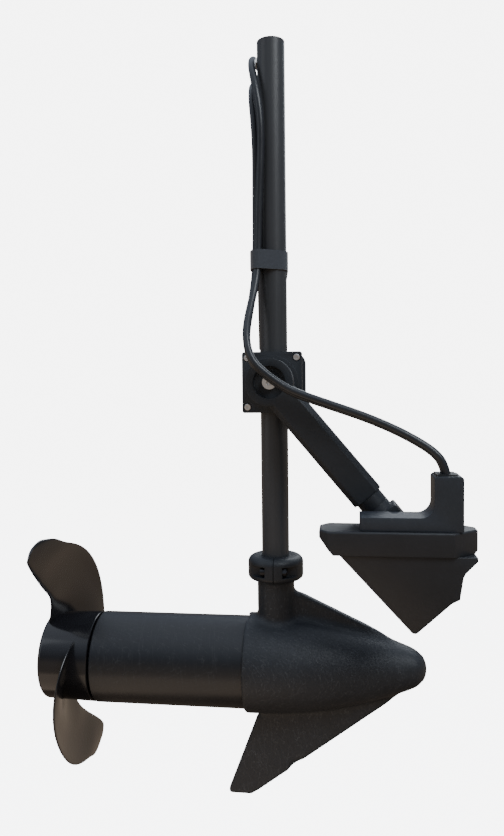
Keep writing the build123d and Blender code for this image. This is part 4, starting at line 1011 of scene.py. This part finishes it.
class TROLLING_OT_stage(bpy.types.Operator):
    """Set the floor, the sky, the lights and the camera"""

    bl_idname = "trolling.stage"
    bl_label = "Stage"

    def execute(self, context):
        settings = context.scene.trolling_stage
        self.make_room(skeg_foot - settings.floor_drop)
        self.make_sky(context)
        middle = (0.0, 0.0, axis_z / 2)
        soft_light("key", (1.5, -1.4, 1.5), middle, (1.2, 1.2), settings.key_power, (0.93, 0.97, 1.0))
        soft_light("fill", (-1.8, -1.0, 0.3), middle, (1.0, 1.8), settings.fill_power, (0.9, 0.95, 1.0))
        soft_light("rear", (0.6, 1.9, 0.7), middle, (1.4, 1.0), settings.rear_power, (0.93, 0.97, 1.0))
        soft_light("warm", (-0.4, -0.6, axis_z - 0.75), (0, 0, axis_z), (1.4, 0.8), settings.warm_power,
                   (1.0, 0.80, 0.62))
        self.make_camera(context)
        return {"FINISHED"}

    def make_room(self, floor_z):
        """One pale sweep: a floor that turns up into a round wall."""
        shape = bmesh.new()
        radius, cove, height, sides = 4.0, 0.8, 12.0, 96
        profile = [(0.4, 0.0), (radius - cove, 0.0)]
        profile += [(radius - cove + cove * math.sin(turn), cove - cove * math.cos(turn))
                    for turn in np.linspace(0.15, math.pi / 2, 10)]
        profile += [(radius, height)]
        turns = [2 * math.pi * k / sides for k in range(sides)]
        rings = [[shape.verts.new((r * math.cos(turn), r * math.sin(turn), floor_z + z)) for turn in turns]
                 for r, z in profile]
        shape.faces.new(rings[0])
        join_loops(shape, rings)
        mesh = to_mesh(shape, "studio_sweep", 60)
        sweep = put_in_scene("studio_sweep", mesh)
        sweep.visible_glossy = False
        sweep.visible_diffuse = False
        sweep.visible_shadow = False
        paint = bpy.data.materials.new("studio_white")
        paint.use_nodes = True
        shader = paint.node_tree.nodes["Principled BSDF"]
        shader.inputs["Base Color"].default_value = (0.9, 0.9, 0.9, 1)
        shader.inputs["Roughness"].default_value = 0.9
        shader.inputs["Emission Color"].default_value = (1, 1, 1, 1)
        shader.inputs["Emission Strength"].default_value = 6.0
        mesh.materials.append(paint)

    def make_sky(self, context):
        """Soft daylight: pale blue from above, dim at the skyline, warm from the ground in front."""
        world = bpy.data.worlds.new("daylight")
        world.use_nodes = True
        context.scene.world = world
        tree = world.node_tree
        direction = tree.nodes.new("ShaderNodeTexCoord")
        split = tree.nodes.new("ShaderNodeSeparateXYZ")
        span = tree.nodes.new("ShaderNodeMapRange")
        span.inputs["From Min"].default_value = -1.0
        ramp = tree.nodes.new("ShaderNodeValToRGB")
        stops = [(0.0, (0.12, 0.09, 0.07, 1)), (0.18, (0.13, 0.10, 0.08, 1)), (0.27, (0.38, 0.30, 0.23, 1)),
                 (0.47, (0.40, 0.33, 0.26, 1)), (0.58, (0.10, 0.11, 0.13, 1)), (0.76, (0.38, 0.44, 0.54, 1)),
                 (1.0, (0.90, 0.98, 1.12, 1))]
        for element, (position, colour) in zip(ramp.color_ramp.elements, stops):
            element.position = position
            element.color = colour
        for position, colour in stops[2:]:
            ramp.color_ramp.elements.new(position).color = colour
        tree.links.new(direction.outputs["Generated"], split.inputs[0])
        tree.links.new(split.outputs["Z"], span.inputs["Value"])
        tree.links.new(span.outputs["Result"], ramp.inputs["Fac"])
        tree.links.new(ramp.outputs["Color"], tree.nodes["Background"].inputs["Color"])
        tree.nodes["Background"].inputs["Strength"].default_value = 1.0

    def make_camera(self, context):
        """The camera stands in front of the shaft, level with the clamp, and looks slightly down and left."""
        lens = bpy.data.cameras.new("camera")
        lens.lens = 30.14
        lens.clip_start = 0.01
        camera = put_in_scene("camera", lens)
        yaw, pitch, roll = 0.1301, 0.046, -0.0115
        level_forward = Vector((-math.sin(yaw), math.cos(yaw), 0))
        forward = level_forward * math.cos(pitch) - Vector((0, 0, math.sin(pitch)))
        level = Vector((math.cos(yaw), math.sin(yaw), 0))
        upright = level.cross(forward)
        right = level * math.cos(roll) + upright * math.sin(roll)
        up = upright * math.cos(roll) - level * math.sin(roll)
        turn = Matrix((right, up, -forward)).transposed().to_4x4()
        camera.matrix_world = Matrix.Translation((0.07165, -0.72760, -0.34944)) @ turn
        context.scene.camera = camera


# ================================================================== panel and registration
steps = ("shaft_and_clamp", "motor", "casing", "propeller", "arm", "transducer", "clamp_screws", "leads",
         "insides", "stage")


class TROLLING_PT_panel(bpy.types.Panel):
    """Lists the settings and every piece's operator"""

    bl_idname = "TROLLING_PT_panel"
    bl_label = "Trolling motor"
    bl_space_type = "VIEW_3D"
    bl_region_type = "UI"
    bl_category = "Trolling motor"

    def draw(self, context):
        for settings in (context.scene.trolling_finishes, context.scene.trolling_shapes,
                         context.scene.trolling_stage):
            box = self.layout.box()
            for name in settings.__annotations__:
                box.prop(settings, name)
        for step in steps:
            self.layout.operator("trolling." + step)


classes = (FinishSettings, ShapeSettings, StageSettings, TROLLING_OT_shaft_and_clamp, TROLLING_OT_motor,
           TROLLING_OT_casing, TROLLING_OT_propeller, TROLLING_OT_arm, TROLLING_OT_transducer,
           TROLLING_OT_clamp_screws, TROLLING_OT_leads, TROLLING_OT_insides, TROLLING_OT_stage,
           TROLLING_PT_panel)


def register():
    for item in classes:
        bpy.utils.register_class(item)
    bpy.types.Scene.trolling_finishes = bpy.props.PointerProperty(type=FinishSettings)
    bpy.types.Scene.trolling_shapes = bpy.props.PointerProperty(type=ShapeSettings)
    bpy.types.Scene.trolling_stage = bpy.props.PointerProperty(type=StageSettings)


def unregister():
    del bpy.types.Scene.trolling_stage
    del bpy.types.Scene.trolling_shapes
    del bpy.types.Scene.trolling_finishes
    for item in reversed(classes):
        bpy.utils.unregister_class(item)


def main():
    register()
    for step in steps:
        getattr(bpy.ops.trolling, step)()


if __name__ == "__main__":
    main()
